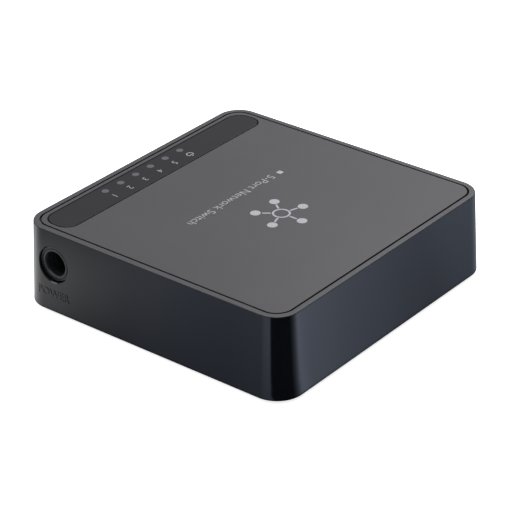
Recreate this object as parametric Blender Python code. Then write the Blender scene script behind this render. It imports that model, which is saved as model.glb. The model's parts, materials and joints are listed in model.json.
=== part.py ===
"""Desktop network switch with five ports.

Metres, +Z up. The origin is the centre of the footprint, on the surface that the switch stands on.
The ports open towards -Y, and the power inlet is on the +X side.
"""

import math

import bmesh
import bpy

MM = 0.001

# Clearances
GAP = 0.3 * MM  # between pieces that touch or sit in each other
PAST = 1.0 * MM  # how far a cutter runs past the face that it cuts
ROOT = 0.5 * MM  # how far a joined shape runs into the one that it grows from

# Casing. Its width and height follow from what it holds
CASE_Y = 85.2 * MM  # at the bottom edge
SPARE_X = 6.45 * MM  # from the casing's -X bottom edge to the port block
DRAFT = 1.1 * MM  # how far each side leans in over the full height
CASE_CORNER = 7.5 * MM  # plan radius at the bottom edge
CORNER_TAPER = 1.0 * MM  # what the radius loses over the full height
WALL = 2.0 * MM
ROOF = 1.3 * MM
BOTTOM_ROUND = 0.4 * MM
TOP_ROUND = 0.25 * MM
RIM = 1.6 * MM  # flat of the casing round the plate
GROOVE = 0.45 * MM
CORNER_STEPS = 8

# Top plate and indicator window
PLATE_THICKNESS = 1.2 * MM
PLATE_BEVEL = 0.1 * MM
WINDOW_SIDE_LIP = 1.4 * MM  # plate left beside the window
WINDOW_FRONT_LIP = 1.45 * MM
WINDOW_LENGTH_Y = 9.0 * MM
WINDOW_FRONT_CORNER = 4.0 * MM
WINDOW_REAR_CORNER = 3.5 * MM
WINDOW_GAP = 0.2 * MM

# Indicator lamps and their light guide
LAMP_NAMES = ("power", "5", "4", "3", "2", "1")
LAMP_PITCH = 5.92 * MM
LAMP_ROW_X = 3.05 * MM  # middle of the row
DOT_FROM_WINDOW_FRONT = 2.4 * MM
DOT_RADIUS = 1.0 * MM
GUIDE_ARM = 2.4 * MM
GUIDE_THICKNESS = 1.0 * MM
GUIDE_BAR = 2.6 * MM
GUIDE_LEG = 1.6 * MM
LAMP_X = 2.0 * MM
LAMP_Y = 1.25 * MM
LAMP_HEIGHT = 0.8 * MM
LAMP_BEHIND_PORTS = 1.6 * MM  # from the port block's back to the lamps' middle

# Base plate
FOOT_DROP = 0.8 * MM  # how far the feet hold the casing up
BASE_THICKNESS = 2.0 * MM
STANDOFF_HEIGHT = 3.0 * MM
STANDOFF_RADIUS = 2.7 * MM
PILLAR_RADIUS = 2.0 * MM
FOOT_RADIUS = 5.0 * MM
FOOT_SINK = 0.5 * MM
FOOT_INSET = 10.0 * MM  # foot's middle from the casing's bottom edge
FOOT_BEVEL = 0.3 * MM
KEYHOLE_SPACING = 44.0 * MM
KEYHOLE_HEAD = 3.6 * MM
KEYHOLE_NECK = 1.9 * MM
KEYHOLE_LENGTH = 7.0 * MM
KEYHOLE_Y = 14.0 * MM
VENT_COUNT = 11
VENT_PITCH = 4.2 * MM
VENT_WIDTH = 2.0 * MM
VENT_LENGTH = 11.0 * MM
VENT_Y = -15.0 * MM
LABEL_X = 34.0 * MM
LABEL_Y = 18.0 * MM
LABEL_MIDDLE_Y = 3.0 * MM
LABEL_SINK = 0.4 * MM
LABEL_THICKNESS = 0.1 * MM
LUG_X = 8.0 * MM
LUG_OUT_X = 20.0 * MM
LUG_THICKNESS = 1.2 * MM
LUG_NOSE = 0.9 * MM
LUG_HEIGHT = 2.6 * MM
LUG_NOSE_LOW = 1.4 * MM
LUG_NOSE_HEIGHT = 0.9 * MM

# Screws
SHANK_RADIUS = 1.2 * MM
SCREW_HEAD_RADIUS = 2.1 * MM
SCREW_HEAD_HEIGHT = 1.0 * MM
SCREW_HEAD_BEVEL = 0.3 * MM
CROSS_LENGTH = 2.4 * MM
CROSS_WIDTH = 0.6 * MM
CROSS_DEPTH = 0.6 * MM
CASE_SCREW_LENGTH = 8.0 * MM
BOARD_SCREW_LENGTH = 4.2 * MM
BOSS_RADIUS = 3.0 * MM
BOSS_OUT_X = 20.0 * MM
BOSS_FROM_REAR = 7.1 * MM  # boss's middle from the casing's bottom edge

# Circuit board
BOARD_THICKNESS = 1.6 * MM
BOARD_MARGIN = 0.5 * MM  # from the board's edge to the casing wall
BOARD_FRONT_CORNER = 5.0 * MM
BOARD_REAR_CORNER = 1.0 * MM
BOARD_TO_BOSS = 4.0 * MM  # from the bosses to the board's back edge
BOARD_HOLE_INSET = 4.4 * MM

# Port block
PORT_COUNT = 5
PORT_SEPTUM = 1.3 * MM  # wall between two cavities
PORT_END_WALL = 1.15 * MM
HOUSING_FLOOR = 1.0 * MM
HOUSING_BACK = 3.0 * MM
HOUSING_RECESS = 1.4 * MM  # from the casing's bottom edge to the port faces
CAVITY_X = 11.9 * MM
CAVITY_HEIGHT = 6.9 * MM
CAVITY_DEPTH = 13.0 * MM
CAVITY_ROOF = 1.2 * MM
LATCH_X = 6.4 * MM
LATCH_STEP = 1.1 * MM
KEY_X = 4.0 * MM
KEY_STEP = 0.9 * MM

# Contact springs of a port
CONTACT_COUNT = 8
CONTACT_PITCH = 1.02 * MM
CONTACT_WIDTH = 0.45 * MM
CONTACT_THICKNESS = 0.3 * MM
CONTACT_BAR = 0.8 * MM
CONTACT_LENGTH = 7.5 * MM
CONTACT_FROM_FACE = 2.0 * MM
CONTACT_BELOW_ROOF = 0.7 * MM
CONTACT_TILT = math.radians(12)

# Power inlet
JACK_AXIS_HEIGHT = 6.5 * MM  # above the board
JACK_FROM_FRONT = 11.3 * MM  # axis from the casing's bottom front edge
JACK_BARREL_RADIUS = 4.6 * MM
JACK_BORE_RADIUS = 3.3 * MM
JACK_RECESS = 0.8 * MM
JACK_BARREL_LENGTH = 2.2 * MM
JACK_LENGTH = 10.6 * MM
JACK_BORE_DEPTH = 9.15 * MM
JACK_Y = 9.0 * MM
JACK_TOP = 4.8 * MM  # box's top above the axis
JACK_HOLE_GAP = 0.3 * MM
PIN_RADIUS = 1.0 * MM
PIN_RECESS = 4.4 * MM
PIN_NOSE = 0.3 * MM
PIN_TAIL = 1.1 * MM
TERMINAL_THICKNESS = 0.4 * MM
TERMINAL_Y = 5.0 * MM
SPRING_WIDTH = 2.4 * MM
SPRING_THICKNESS = 0.3 * MM
SPRING_ROOT_BELOW = 4.35 * MM  # root's middle below the axis
SPRING_CREST_BELOW = 2.55 * MM
SPRING_TIP_BELOW = 3.3 * MM
SPRING_CREST_OUT = 4.2 * MM
SPRING_TIP_OUT = 5.8 * MM
CHANNEL_Y = 3.2 * MM
CHANNEL_FLOOR_BELOW = 5.2 * MM
CHANNEL_PAST_TIP = 0.7 * MM

# Parts on the board: sizes in x and y, height, and the middle's place
CHIP_SIDE = 14.0 * MM
CHIP_HEIGHT = 1.4 * MM
CHIP_BEVEL = 0.3 * MM
CHIP_AT = (-6.0 * MM, 5.0 * MM)
PAD_THICKNESS = 0.5 * MM
SINK_SIDE = 18.0 * MM
SINK_BASE = 1.5 * MM
SINK_HEIGHT = 6.0 * MM
SINK_FINS = 7
SINK_FIN_WIDTH = 1.0 * MM
TRANSFORMER_SPACE = 1.8 * MM  # between two of them
TRANSFORMER_Y = 9.0 * MM
TRANSFORMER_HEIGHT = 5.5 * MM
TRANSFORMER_BEHIND_LAMPS = 3.0 * MM
CRYSTAL_X = 11.4 * MM
CRYSTAL_Y = 4.7 * MM
CRYSTAL_HEIGHT = 3.5 * MM
CRYSTAL_AT = (12.5 * MM, 3.0 * MM)
SMALL_CHIP_X = 5.0 * MM
SMALL_CHIP_Y = 4.0 * MM
SMALL_CHIP_HEIGHT = 1.6 * MM
MEMORY_AT = (12.0 * MM, 12.0 * MM)
REGULATOR_AT = (25.5 * MM, 2.0 * MM)
INDUCTOR_SIDE = 6.0 * MM
INDUCTOR_HEIGHT = 3.0 * MM
INDUCTOR_CORNER = 1.4 * MM
CAN_RADIUS = 3.15 * MM
CAN_HEIGHT = 7.7 * MM
CAN_BASE = 6.6 * MM
CAN_BASE_HEIGHT = 1.0 * MM
CAN_NECK = 0.35 * MM
CAN_CROWN = 0.5 * MM
CAN_AT = ((28.0 * MM, 10.0 * MM), (19.5 * MM, 14.0 * MM), (-24.0 * MM, 6.0 * MM))
DIODE_X = 4.3 * MM
DIODE_Y = 2.6 * MM
DIODE_HEIGHT = 2.2 * MM
FUSE_X = 4.6 * MM
FUSE_Y = 3.2 * MM
FUSE_HEIGHT = 1.2 * MM
POWER_PART_SPACE = 2.0 * MM  # between the power parts in the row behind the inlet

# Levels, from the bottom up
CASE_LOW = FOOT_DROP
BASE_TOP = CASE_LOW + BASE_THICKNESS
STANDOFF_TOP = BASE_TOP + STANDOFF_HEIGHT
BOARD_LOW = STANDOFF_TOP + GAP
BOARD_TOP = BOARD_LOW + BOARD_THICKNESS
PARTS_LOW = BOARD_TOP + GAP
CAVITY_LOW = PARTS_LOW + HOUSING_FLOOR + KEY_STEP + LATCH_STEP
CAVITY_TOP = CAVITY_LOW + CAVITY_HEIGHT
HOUSING_TOP = CAVITY_TOP + CAVITY_ROOF
GUIDE_LOW = HOUSING_TOP + GAP
GUIDE_TOP = GUIDE_LOW + GUIDE_THICKNESS
ROOF_LOW = GUIDE_TOP + GAP
RECESS_FLOOR = ROOF_LOW + ROOF
CASE_TOP = RECESS_FLOOR + GAP + PLATE_THICKNESS
CASE_HEIGHT = CASE_TOP - CASE_LOW
JACK_Z = BOARD_TOP + JACK_AXIS_HEIGHT


def wall_inset(level):
    """How far the drafted side has leaned in at a level."""
    return DRAFT * (level - CASE_LOW) / CASE_HEIGHT


# Places in plan
PORT_PITCH = CAVITY_X + PORT_SEPTUM
HOUSING_HALF_X = (PORT_PITCH * (PORT_COUNT - 1) + CAVITY_X) / 2 + PORT_END_WALL
JACK_FROM_SIDE = JACK_RECESS + wall_inset(JACK_Z) + JACK_LENGTH  # jack's back from the +X bottom edge
CASE_X = SPARE_X + 2 * HOUSING_HALF_X + 2 * GAP + PIN_TAIL + JACK_FROM_SIDE  # at the bottom edge
PLATE_HALF_X = CASE_X / 2 - DRAFT - RIM - GROOVE
PLATE_HALF_Y = CASE_Y / 2 - DRAFT - RIM - GROOVE
PLATE_CORNER = CASE_CORNER - CORNER_TAPER - RIM - GROOVE
WINDOW_HALF_X = PLATE_HALF_X - WINDOW_SIDE_LIP
WINDOW_FRONT = -PLATE_HALF_Y + WINDOW_FRONT_LIP
WINDOW_REAR = WINDOW_FRONT + WINDOW_LENGTH_Y
DOT_Y = WINDOW_FRONT + DOT_FROM_WINDOW_FRONT
FOOT_HALF_X = CASE_X / 2 - FOOT_INSET
FOOT_HALF_Y = CASE_Y / 2 - FOOT_INSET
BOSS_Y = CASE_Y / 2 - BOSS_FROM_REAR
BOARD_HALF_X = CASE_X / 2 - WALL - wall_inset(BOARD_TOP) - BOARD_MARGIN
BOARD_FRONT = -(CASE_Y / 2 - WALL - wall_inset(BOARD_TOP) - BOARD_MARGIN)
BOARD_REAR = BOSS_Y - BOSS_RADIUS - BOARD_TO_BOSS
BOARD_HOLE_X = BOARD_HALF_X - BOARD_HOLE_INSET
BOARD_HOLE_Y = BOARD_REAR - BOARD_HOLE_INSET
PILLAR_Y = BOARD_FRONT + BOARD_HOLE_INSET
JACK_AXIS_Y = -CASE_Y / 2 + JACK_FROM_FRONT
JACK_NOSE = CASE_X / 2 - wall_inset(JACK_Z) - JACK_RECESS
JACK_BOX_HIGH = JACK_NOSE - JACK_BARREL_LENGTH
JACK_REAR = JACK_NOSE - JACK_LENGTH
TERMINAL_HIGH = JACK_REAR - GAP
TERMINAL_LOW = TERMINAL_HIGH - TERMINAL_THICKNESS
HOUSING_X = JACK_REAR - PIN_TAIL - 2 * GAP - HOUSING_HALF_X
HOUSING_FRONT = -CASE_Y / 2 + HOUSING_RECESS
HOUSING_REAR = HOUSING_FRONT + CAVITY_DEPTH + HOUSING_BACK
LAMP_ROW_Y = HOUSING_REAR + LAMP_BEHIND_PORTS
TRANSFORMER_X = PORT_PITCH - TRANSFORMER_SPACE
TRANSFORMER_ROW_Y = LAMP_ROW_Y + TRANSFORMER_BEHIND_LAMPS + TRANSFORMER_Y / 2
CONTACT_Y = HOUSING_FRONT + CONTACT_FROM_FACE
CONTACT_Z = CAVITY_TOP - CONTACT_BELOW_ROOF
SPRING_ROOT_X = JACK_REAR + GAP
POWER_X = (JACK_REAR + JACK_BOX_HIGH) / 2
DIODE_ROW_Y = JACK_AXIS_Y + JACK_Y / 2 + POWER_PART_SPACE + DIODE_Y / 2
FUSE_ROW_Y = DIODE_ROW_Y + DIODE_Y / 2 + POWER_PART_SPACE + FUSE_Y / 2
INDUCTOR_ROW_Y = FUSE_ROW_Y + FUSE_Y / 2 + POWER_PART_SPACE + INDUCTOR_SIDE / 2


# Outlines and lofts


def arc(middle, radius, start, stop, steps):
    """Points on a circle from one angle to another, in degrees."""
    angles = [math.radians(start + (stop - start) * step / steps) for step in range(steps + 1)]
    return [(middle[0] + radius * math.cos(a), middle[1] + radius * math.sin(a)) for a in angles]


def circle(middle, radius, steps=20):
    return arc(middle, radius, 0, 360, steps)[:-1]


def rectangle(low, high):
    return [low, (high[0], low[1]), high, (low[0], high[1])]


def rounded(low, high, low_radius, high_radius=None, steps=CORNER_STEPS):
    """A rectangle with one radius on its two low-v corners and one on its two high-v corners."""
    top_radius = low_radius if high_radius is None else high_radius
    corners = (
        (low[0] + low_radius, low[1] + low_radius, low_radius, 180),
        (high[0] - low_radius, low[1] + low_radius, low_radius, 270),
        (high[0] - top_radius, high[1] - top_radius, top_radius, 0),
        (low[0] + top_radius, high[1] - top_radius, top_radius, 90),
    )
    return [point for u, v, r, turn in corners for point in arc((u, v), r, turn, turn + 90, steps)]


def around(middle, size_u, size_v):
    """Low and high corners of a rectangle with this middle."""
    low = (middle[0] - size_u / 2, middle[1] - size_v / 2)
    high = (middle[0] + size_u / 2, middle[1] + size_v / 2)
    return low, high


def case_outline(level, inset=0.0, steps=CORNER_STEPS):
    """The drafted casing's outline at a level, moved in by an inset."""
    shrink = wall_inset(level) + inset
    radius = CASE_CORNER - CORNER_TAPER * (level - CASE_LOW) / CASE_HEIGHT - inset
    half_x = CASE_X / 2 - shrink
    half_y = CASE_Y / 2 - shrink
    return rounded((-half_x, -half_y), (half_x, half_y), radius, steps=steps)


def plate_outline(grow=0.0):
    half_x = PLATE_HALF_X + grow
    half_y = PLATE_HALF_Y + grow
    return rounded((-half_x, -half_y), (half_x, half_y), PLATE_CORNER + grow)


def window_outline(grow=0.0):
    low = (-WINDOW_HALF_X - grow, WINDOW_FRONT - grow)
    high = (WINDOW_HALF_X + grow, WINDOW_REAR + grow)
    return rounded(low, high, WINDOW_FRONT_CORNER + grow, WINDOW_REAR_CORNER + grow)


def keyhole(middle):
    """A round hole with a narrower slot that runs out of it towards +v."""
    reach = math.degrees(math.asin(KEYHOLE_NECK / KEYHOLE_HEAD))
    head = arc(middle, KEYHOLE_HEAD, 90 + reach, 450 - reach, 16)
    end = arc((middle[0], middle[1] + KEYHOLE_LENGTH - KEYHOLE_NECK), KEYHOLE_NECK, 0, 180, 6)
    return head + end


def comb(span, back, root, tip, teeth, width):
    """A bar from back to root with teeth that run from root to tip."""
    outline = [(span[0], back), (span[1], back), (span[1], root)]
    for middle in sorted(teeth, reverse=True):
        outline += [(middle + width / 2, root), (middle + width / 2, tip)]
        outline += [(middle - width / 2, tip), (middle - width / 2, root)]
    return outline + [(span[0], root)]


def prism(outline, low, high):
    return [(outline, low), (outline, high)]


def turned(middle, profile, steps=20):
    """A loft of circles. The profile is a list of (radius, level)."""
    return [(circle(middle, radius, steps), level) for radius, level in profile]


# Solids


AXES = {
    "X": lambda u, v, w: (w, u, v),
    "Y": lambda u, v, w: (u, w, v),
    "Z": lambda u, v, w: (u, v, w),
}


def solid(name, lofts, axis="Z"):
    """One object of closed lofts, each a list of (outline, level) along the axis."""
    place = AXES[axis]
    shape = bmesh.new()
    for sections in lofts:
        rings = [[shape.verts.new(place(u, v, level)) for u, v in outline] for outline, level in sections]
        shape.faces.new(rings[0])
        shape.faces.new(rings[-1])
        for low, high in zip(rings, rings[1:]):
            for here in range(len(low)):
                after = (here + 1) % len(low)
                shape.faces.new((low[here], low[after], high[after], high[here]))
    bmesh.ops.recalc_face_normals(shape, faces=shape.faces)
    mesh = bpy.data.meshes.new(name)
    shape.to_mesh(mesh)
    shape.free()
    piece = bpy.data.objects.new(name, mesh)
    bpy.context.scene.collection.objects.link(piece)
    return piece


def combine(piece, other, operation):
    """Applies one exact Boolean and removes the other object."""
    modifier = piece.modifiers.new(operation, "BOOLEAN")
    modifier.operation = operation
    modifier.solver = "EXACT"
    modifier.object = other
    done = bpy.data.meshes.new_from_object(piece.evaluated_get(bpy.context.evaluated_depsgraph_get()))
    piece.modifiers.clear()
    old = piece.data
    piece.data = done
    done.name = piece.name
    bpy.data.meshes.remove(old)
    bpy.data.meshes.remove(other.data)


def cut(piece, lofts, axis="Z"):
    combine(piece, solid("cutter", lofts, axis), "DIFFERENCE")


def join(piece, lofts, axis="Z"):
    combine(piece, solid("addition", lofts, axis), "UNION")


def linear(byte):
    """One channel of an sRGB colour as a linear value."""
    share = byte / 255
    return share / 12.92 if share <= 0.04045 else ((share + 0.055) / 1.055) ** 2.4


def finish(piece, colour, roughness, metallic=0.0):
    """Gives the piece a material of its own, and smooth shading between sharp edges."""
    material = bpy.data.materials.new(piece.name)
    material.use_nodes = True
    shader = material.node_tree.nodes["Principled BSDF"]
    channels = [linear(int(colour[place : place + 2], 16)) for place in (0, 2, 4)]
    shader.inputs["Base Color"].default_value = (*channels, 1.0)
    shader.inputs["Roughness"].default_value = roughness
    shader.inputs["Metallic"].default_value = metallic
    piece.data.materials.clear()
    piece.data.materials.append(material)
    piece.data.shade_smooth()
    piece.data.set_sharp_from_angle(angle=math.radians(35))
    return piece


# Casing


def edge_round(radius, low, high):
    """(inset, level) pairs for a quarter round that starts inset at low and ends flush at high."""
    turns = [math.radians(angle) for angle in (0, 45, 90)]
    return [(radius * (1 - math.sin(t)), low + (high - low) * (1 - math.cos(t))) for t in turns]


def lamp_places():
    start = LAMP_ROW_X - LAMP_PITCH * (len(LAMP_NAMES) - 1) / 2
    return [start + LAMP_PITCH * place for place in range(len(LAMP_NAMES))]


def top_shell():
    bottom = edge_round(BOTTOM_ROUND, CASE_LOW, CASE_LOW + BOTTOM_ROUND)
    top = edge_round(TOP_ROUND, CASE_TOP, CASE_TOP - TOP_ROUND)[::-1]
    shell = solid("top_shell", [[(case_outline(level, inset), level) for inset, level in bottom + top]])
    low = CASE_LOW - PAST
    cut(shell, [[(case_outline(low, WALL), low), (case_outline(ROOF_LOW, WALL), ROOF_LOW)]])
    bosses = [(-BOSS_OUT_X, BOSS_Y), (BOSS_OUT_X, BOSS_Y)]
    join(shell, [prism(circle(at, BOSS_RADIUS), BASE_TOP + GAP, ROOF_LOW + ROOT) for at in bosses])
    cut(shell, [prism(plate_outline(GROOVE), RECESS_FLOOR, CASE_TOP + PAST)])
    screw_top = CASE_LOW + SCREW_HEAD_HEIGHT + CASE_SCREW_LENGTH + PAST
    cut(shell, [prism(circle(at, SHANK_RADIUS + GAP, 12), BASE_TOP, screw_top) for at in bosses])
    dots = [(x, DOT_Y) for x in lamp_places()]
    cut(shell, [prism(circle(at, DOT_RADIUS + GAP, 12), ROOF_LOW - PAST, RECESS_FLOOR + PAST) for at in dots])
    jack = circle((JACK_AXIS_Y, JACK_Z), JACK_BARREL_RADIUS + JACK_HOLE_GAP, 32)
    cut(shell, [prism(jack, JACK_BOX_HIGH, CASE_X / 2 + PAST)], "X")
    low = (HOUSING_X - HOUSING_HALF_X - GAP, PARTS_LOW - GAP)
    high = (HOUSING_X + HOUSING_HALF_X + GAP, HOUSING_TOP + GAP)
    inside = -CASE_Y / 2 + WALL + DRAFT + CASE_CORNER
    cut(shell, [prism(rectangle(low, high), -CASE_Y / 2 - PAST, inside)], "Y")
    nose_front = lug_face() - LUG_NOSE - GAP
    pockets = [
        prism(rectangle(*around((x, lug_face()), LUG_X + 2 * GAP, 2 * (lug_face() - nose_front))),
              BASE_TOP + LUG_NOSE_LOW - GAP, BASE_TOP + LUG_NOSE_LOW + LUG_NOSE_HEIGHT + GAP)
        for x in (-LUG_OUT_X, LUG_OUT_X)
    ]
    cut(shell, pockets)
    finish(shell, "1B1C20", 0.38)


def lug_face():
    """The lugs' front face, a clearance behind the casing's front wall."""
    return -(CASE_Y / 2 - WALL - wall_inset(BASE_TOP + LUG_HEIGHT) - GAP)


def top_plate():
    low = CASE_TOP - PLATE_THICKNESS
    levels = [(0.0, low), (0.0, CASE_TOP - PLATE_BEVEL), (-PLATE_BEVEL, CASE_TOP)]
    plate = solid("top_plate", [[(plate_outline(grow), level) for grow, level in levels]])
    cut(plate, [prism(window_outline(WINDOW_GAP), low - PAST, CASE_TOP + PAST)])
    finish(plate, "454547", 0.6)


def indicator_window():
    window = solid("indicator_window", [prism(window_outline(), CASE_TOP - PLATE_THICKNESS, CASE_TOP)])
    finish(window, "17171A", 0.15)


def light_pipe():
    """A bar across the back, an arm to each dot, a round tip up through the roof, a leg down to each lamp."""
    places = lamp_places()
    bar = (places[0] - GUIDE_ARM, places[-1] + GUIDE_ARM)
    tip = DOT_Y - GUIDE_ARM / 2
    outline = comb(bar, LAMP_ROW_Y + GUIDE_BAR / 2, LAMP_ROW_Y - GUIDE_BAR / 2, tip, places, GUIDE_ARM)
    guide = solid("light_pipe", [prism(outline, GUIDE_LOW, GUIDE_TOP)])
    join(guide, [prism(circle((x, DOT_Y), DOT_RADIUS, 12), GUIDE_TOP - ROOT, RECESS_FLOOR) for x in places])
    legs = [rectangle(*around((x, LAMP_ROW_Y), GUIDE_LEG, GUIDE_LEG)) for x in places]
    join(guide, [prism(leg, PARTS_LOW + LAMP_HEIGHT + GAP, GUIDE_LOW + ROOT) for leg in legs])
    finish(guide, "D8DADC", 0.2)


def indicator_lamps():
    for lamp, x in zip(LAMP_NAMES, lamp_places()):
        body = rectangle(*around((x, LAMP_ROW_Y), LAMP_X, LAMP_Y))
        finish(solid("led_" + lamp, [prism(body, PARTS_LOW, PARTS_LOW + LAMP_HEIGHT)]), "E6E2CC", 0.4)


# Base


def base_plate():
    outline = case_outline(CASE_LOW, WALL + GAP)
    base = solid("base_plate", [prism(outline, CASE_LOW, BASE_TOP)])
    screw_posts = [(x, BOARD_HOLE_Y) for x in (-BOARD_HOLE_X, BOARD_HOLE_X)]
    posts = [prism(circle(at, STANDOFF_RADIUS, 16), BASE_TOP - ROOT, STANDOFF_TOP) for at in screw_posts]
    pillars = [(x, PILLAR_Y) for x in (-BOARD_HOLE_X, BOARD_HOLE_X)]
    posts += [prism(circle(at, PILLAR_RADIUS, 16), BASE_TOP - ROOT, STANDOFF_TOP) for at in pillars]
    join(base, posts)
    face = lug_face()
    nose_low = BASE_TOP + LUG_NOSE_LOW
    lug = [
        (face + LUG_THICKNESS, BASE_TOP - ROOT),
        (face + LUG_THICKNESS, BASE_TOP + LUG_HEIGHT),
        (face, BASE_TOP + LUG_HEIGHT),
        (face - LUG_NOSE, nose_low + LUG_NOSE_HEIGHT),
        (face - LUG_NOSE, nose_low),
        (face, nose_low),
        (face, BASE_TOP - ROOT),
    ]
    join(base, [prism(lug, x - LUG_X / 2, x + LUG_X / 2) for x in (-LUG_OUT_X, LUG_OUT_X)], "X")
    below = CASE_LOW - PAST
    feet = [prism(circle(at, FOOT_RADIUS + GAP, 24), below, CASE_LOW + FOOT_SINK) for at in foot_places()]
    label = rectangle(*around((0, LABEL_MIDDLE_Y), LABEL_X + 2 * GAP, LABEL_Y + 2 * GAP))
    bosses = [(-BOSS_OUT_X, BOSS_Y), (BOSS_OUT_X, BOSS_Y)]
    head_floor = CASE_LOW + SCREW_HEAD_HEIGHT + GAP
    wells = [prism(circle(at, SCREW_HEAD_RADIUS + GAP, 16), below, head_floor) for at in bosses]
    cut(base, feet + wells + [prism(label, below, CASE_LOW + LABEL_SINK)])
    holes = [prism(circle(at, SHANK_RADIUS + GAP, 12), below, BASE_TOP + PAST) for at in bosses]
    holes += [prism(circle(at, SHANK_RADIUS + GAP, 12), BASE_TOP, STANDOFF_TOP + PAST) for at in screw_posts]
    vent_row = [(place - (VENT_COUNT - 1) / 2) * VENT_PITCH for place in range(VENT_COUNT)]
    vents = [rounded(*around((x, VENT_Y), VENT_WIDTH, VENT_LENGTH), VENT_WIDTH / 2, steps=3) for x in vent_row]
    holes += [prism(vent, below, BASE_TOP + PAST) for vent in vents]
    keyholes = [keyhole((x, KEYHOLE_Y)) for x in (-KEYHOLE_SPACING / 2, KEYHOLE_SPACING / 2)]
    cut(base, holes + [prism(hole, below, BASE_TOP + PAST) for hole in keyholes])
    finish(base, "1A1A1D", 0.5)


def foot_places():
    return [(x, y) for y in (-FOOT_HALF_Y, FOOT_HALF_Y) for x in (-FOOT_HALF_X, FOOT_HALF_X)]


def feet():
    top = CASE_LOW + FOOT_SINK - GAP
    profile = [(FOOT_RADIUS - FOOT_BEVEL, 0.0), (FOOT_RADIUS, FOOT_BEVEL), (FOOT_RADIUS, top)]
    for count, at in enumerate(foot_places(), start=1):
        finish(solid(f"foot_{count}", [turned(at, profile, 24)]), "202022", 0.9)


def screw(name, at, head_end, head_root, shank_end):
    """A crosshead screw: its head runs from head_end to head_root, its shank on to shank_end."""
    way = 1 if head_root > head_end else -1
    profile = [
        (SCREW_HEAD_RADIUS - SCREW_HEAD_BEVEL, head_end),
        (SCREW_HEAD_RADIUS, head_end + way * SCREW_HEAD_BEVEL),
        (SCREW_HEAD_RADIUS, head_root),
        (SHANK_RADIUS, head_root),
        (SHANK_RADIUS, shank_end - way * SHANK_RADIUS),
        (SHANK_RADIUS / 2, shank_end),
    ]
    piece = solid(name, [turned(at, profile, 16)])
    floor = head_end + way * CROSS_DEPTH
    outside = head_end - way * PAST
    for size_x, size_y in ((CROSS_LENGTH, CROSS_WIDTH), (CROSS_WIDTH, CROSS_LENGTH)):
        slot = rectangle(*around(at, size_x, size_y))
        cut(piece, [prism(slot, min(floor, outside), max(floor, outside))])
    finish(piece, "A8A9AD", 0.35, 1.0)


def screws():
    for count, x in enumerate((-BOSS_OUT_X, BOSS_OUT_X), start=1):
        root = CASE_LOW + SCREW_HEAD_HEIGHT
        screw(f"case_screw_{count}", (x, BOSS_Y), CASE_LOW, root, root + CASE_SCREW_LENGTH)
    for count, x in enumerate((-BOARD_HOLE_X, BOARD_HOLE_X), start=1):
        end = PARTS_LOW - BOARD_SCREW_LENGTH
        screw(f"board_screw_{count}", (x, BOARD_HOLE_Y), PARTS_LOW + SCREW_HEAD_HEIGHT, PARTS_LOW, end)


def rating_label():
    low = CASE_LOW + LABEL_SINK - GAP - LABEL_THICKNESS
    outline = rounded(*around((0, LABEL_MIDDLE_Y), LABEL_X, LABEL_Y), 1.0 * MM, steps=3)
    finish(solid("rating_label", [prism(outline, low, low + LABEL_THICKNESS)]), "C9CBCD", 0.5)


# Board and ports


def main_board():
    low = (-BOARD_HALF_X, BOARD_FRONT)
    high = (BOARD_HALF_X, BOARD_REAR)
    outline = rounded(low, high, BOARD_FRONT_CORNER, BOARD_REAR_CORNER, steps=5)
    board = solid("main_board", [prism(outline, BOARD_LOW, BOARD_TOP)])
    holes = [circle((x, BOARD_HOLE_Y), SHANK_RADIUS + GAP, 12) for x in (-BOARD_HOLE_X, BOARD_HOLE_X)]
    cut(board, [prism(hole, BOARD_LOW - PAST, BOARD_TOP + PAST) for hole in holes])
    finish(board, "1F5A38", 0.45)


def port_places():
    """Middles of the ports, port 1 first. Seen from the ports' side, port 1 is the rightmost."""
    last = HOUSING_X + PORT_PITCH * (PORT_COUNT - 1) / 2
    return [last - PORT_PITCH * place for place in range(PORT_COUNT)]


def port_opening(x):
    """Plug cavity with the two steps for the plug's latch under it."""
    half = CAVITY_X / 2
    latch = CAVITY_LOW - LATCH_STEP
    key = latch - KEY_STEP
    right = [(LATCH_X / 2, latch), (LATCH_X / 2, CAVITY_LOW), (half, CAVITY_LOW), (half, CAVITY_TOP)]
    outline = [(-KEY_X / 2, key), (KEY_X / 2, key), (KEY_X / 2, latch)] + right
    left = [(-u, v) for u, v in [(KEY_X / 2, latch)] + right]
    return [(x + u, v) for u, v in outline + left[::-1]]


def port_housing():
    low = (HOUSING_X - HOUSING_HALF_X, PARTS_LOW)
    high = (HOUSING_X + HOUSING_HALF_X, HOUSING_TOP)
    housing = solid("port_housing", [prism(rectangle(low, high), HOUSING_FRONT, HOUSING_REAR)], "Y")
    back = HOUSING_FRONT + CAVITY_DEPTH
    cut(housing, [prism(port_opening(x), HOUSING_FRONT - PAST, back) for x in port_places()], "Y")
    finish(housing, "1C1C1E", 0.45)


def port_contacts():
    """Each port's springs hang from a bar at the mouth and slope down towards the back."""
    row = [(place - (CONTACT_COUNT - 1) / 2) * CONTACT_PITCH for place in range(CONTACT_COUNT)]
    span = (row[0] - CONTACT_PITCH, row[-1] + CONTACT_PITCH)
    outline = comb(span, -CONTACT_BAR / 2, CONTACT_BAR / 2, CONTACT_LENGTH, row, CONTACT_WIDTH)
    for count, x in enumerate(port_places(), start=1):
        sheet = prism(outline, -CONTACT_THICKNESS / 2, CONTACT_THICKNESS / 2)
        springs = solid(f"port_{count}_contacts", [sheet])
        springs.location = (x, CONTACT_Y, CONTACT_Z)
        springs.rotation_euler = (-CONTACT_TILT, 0, 0)
        finish(springs, "C9A24A", 0.3, 1.0)


# Power inlet


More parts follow.
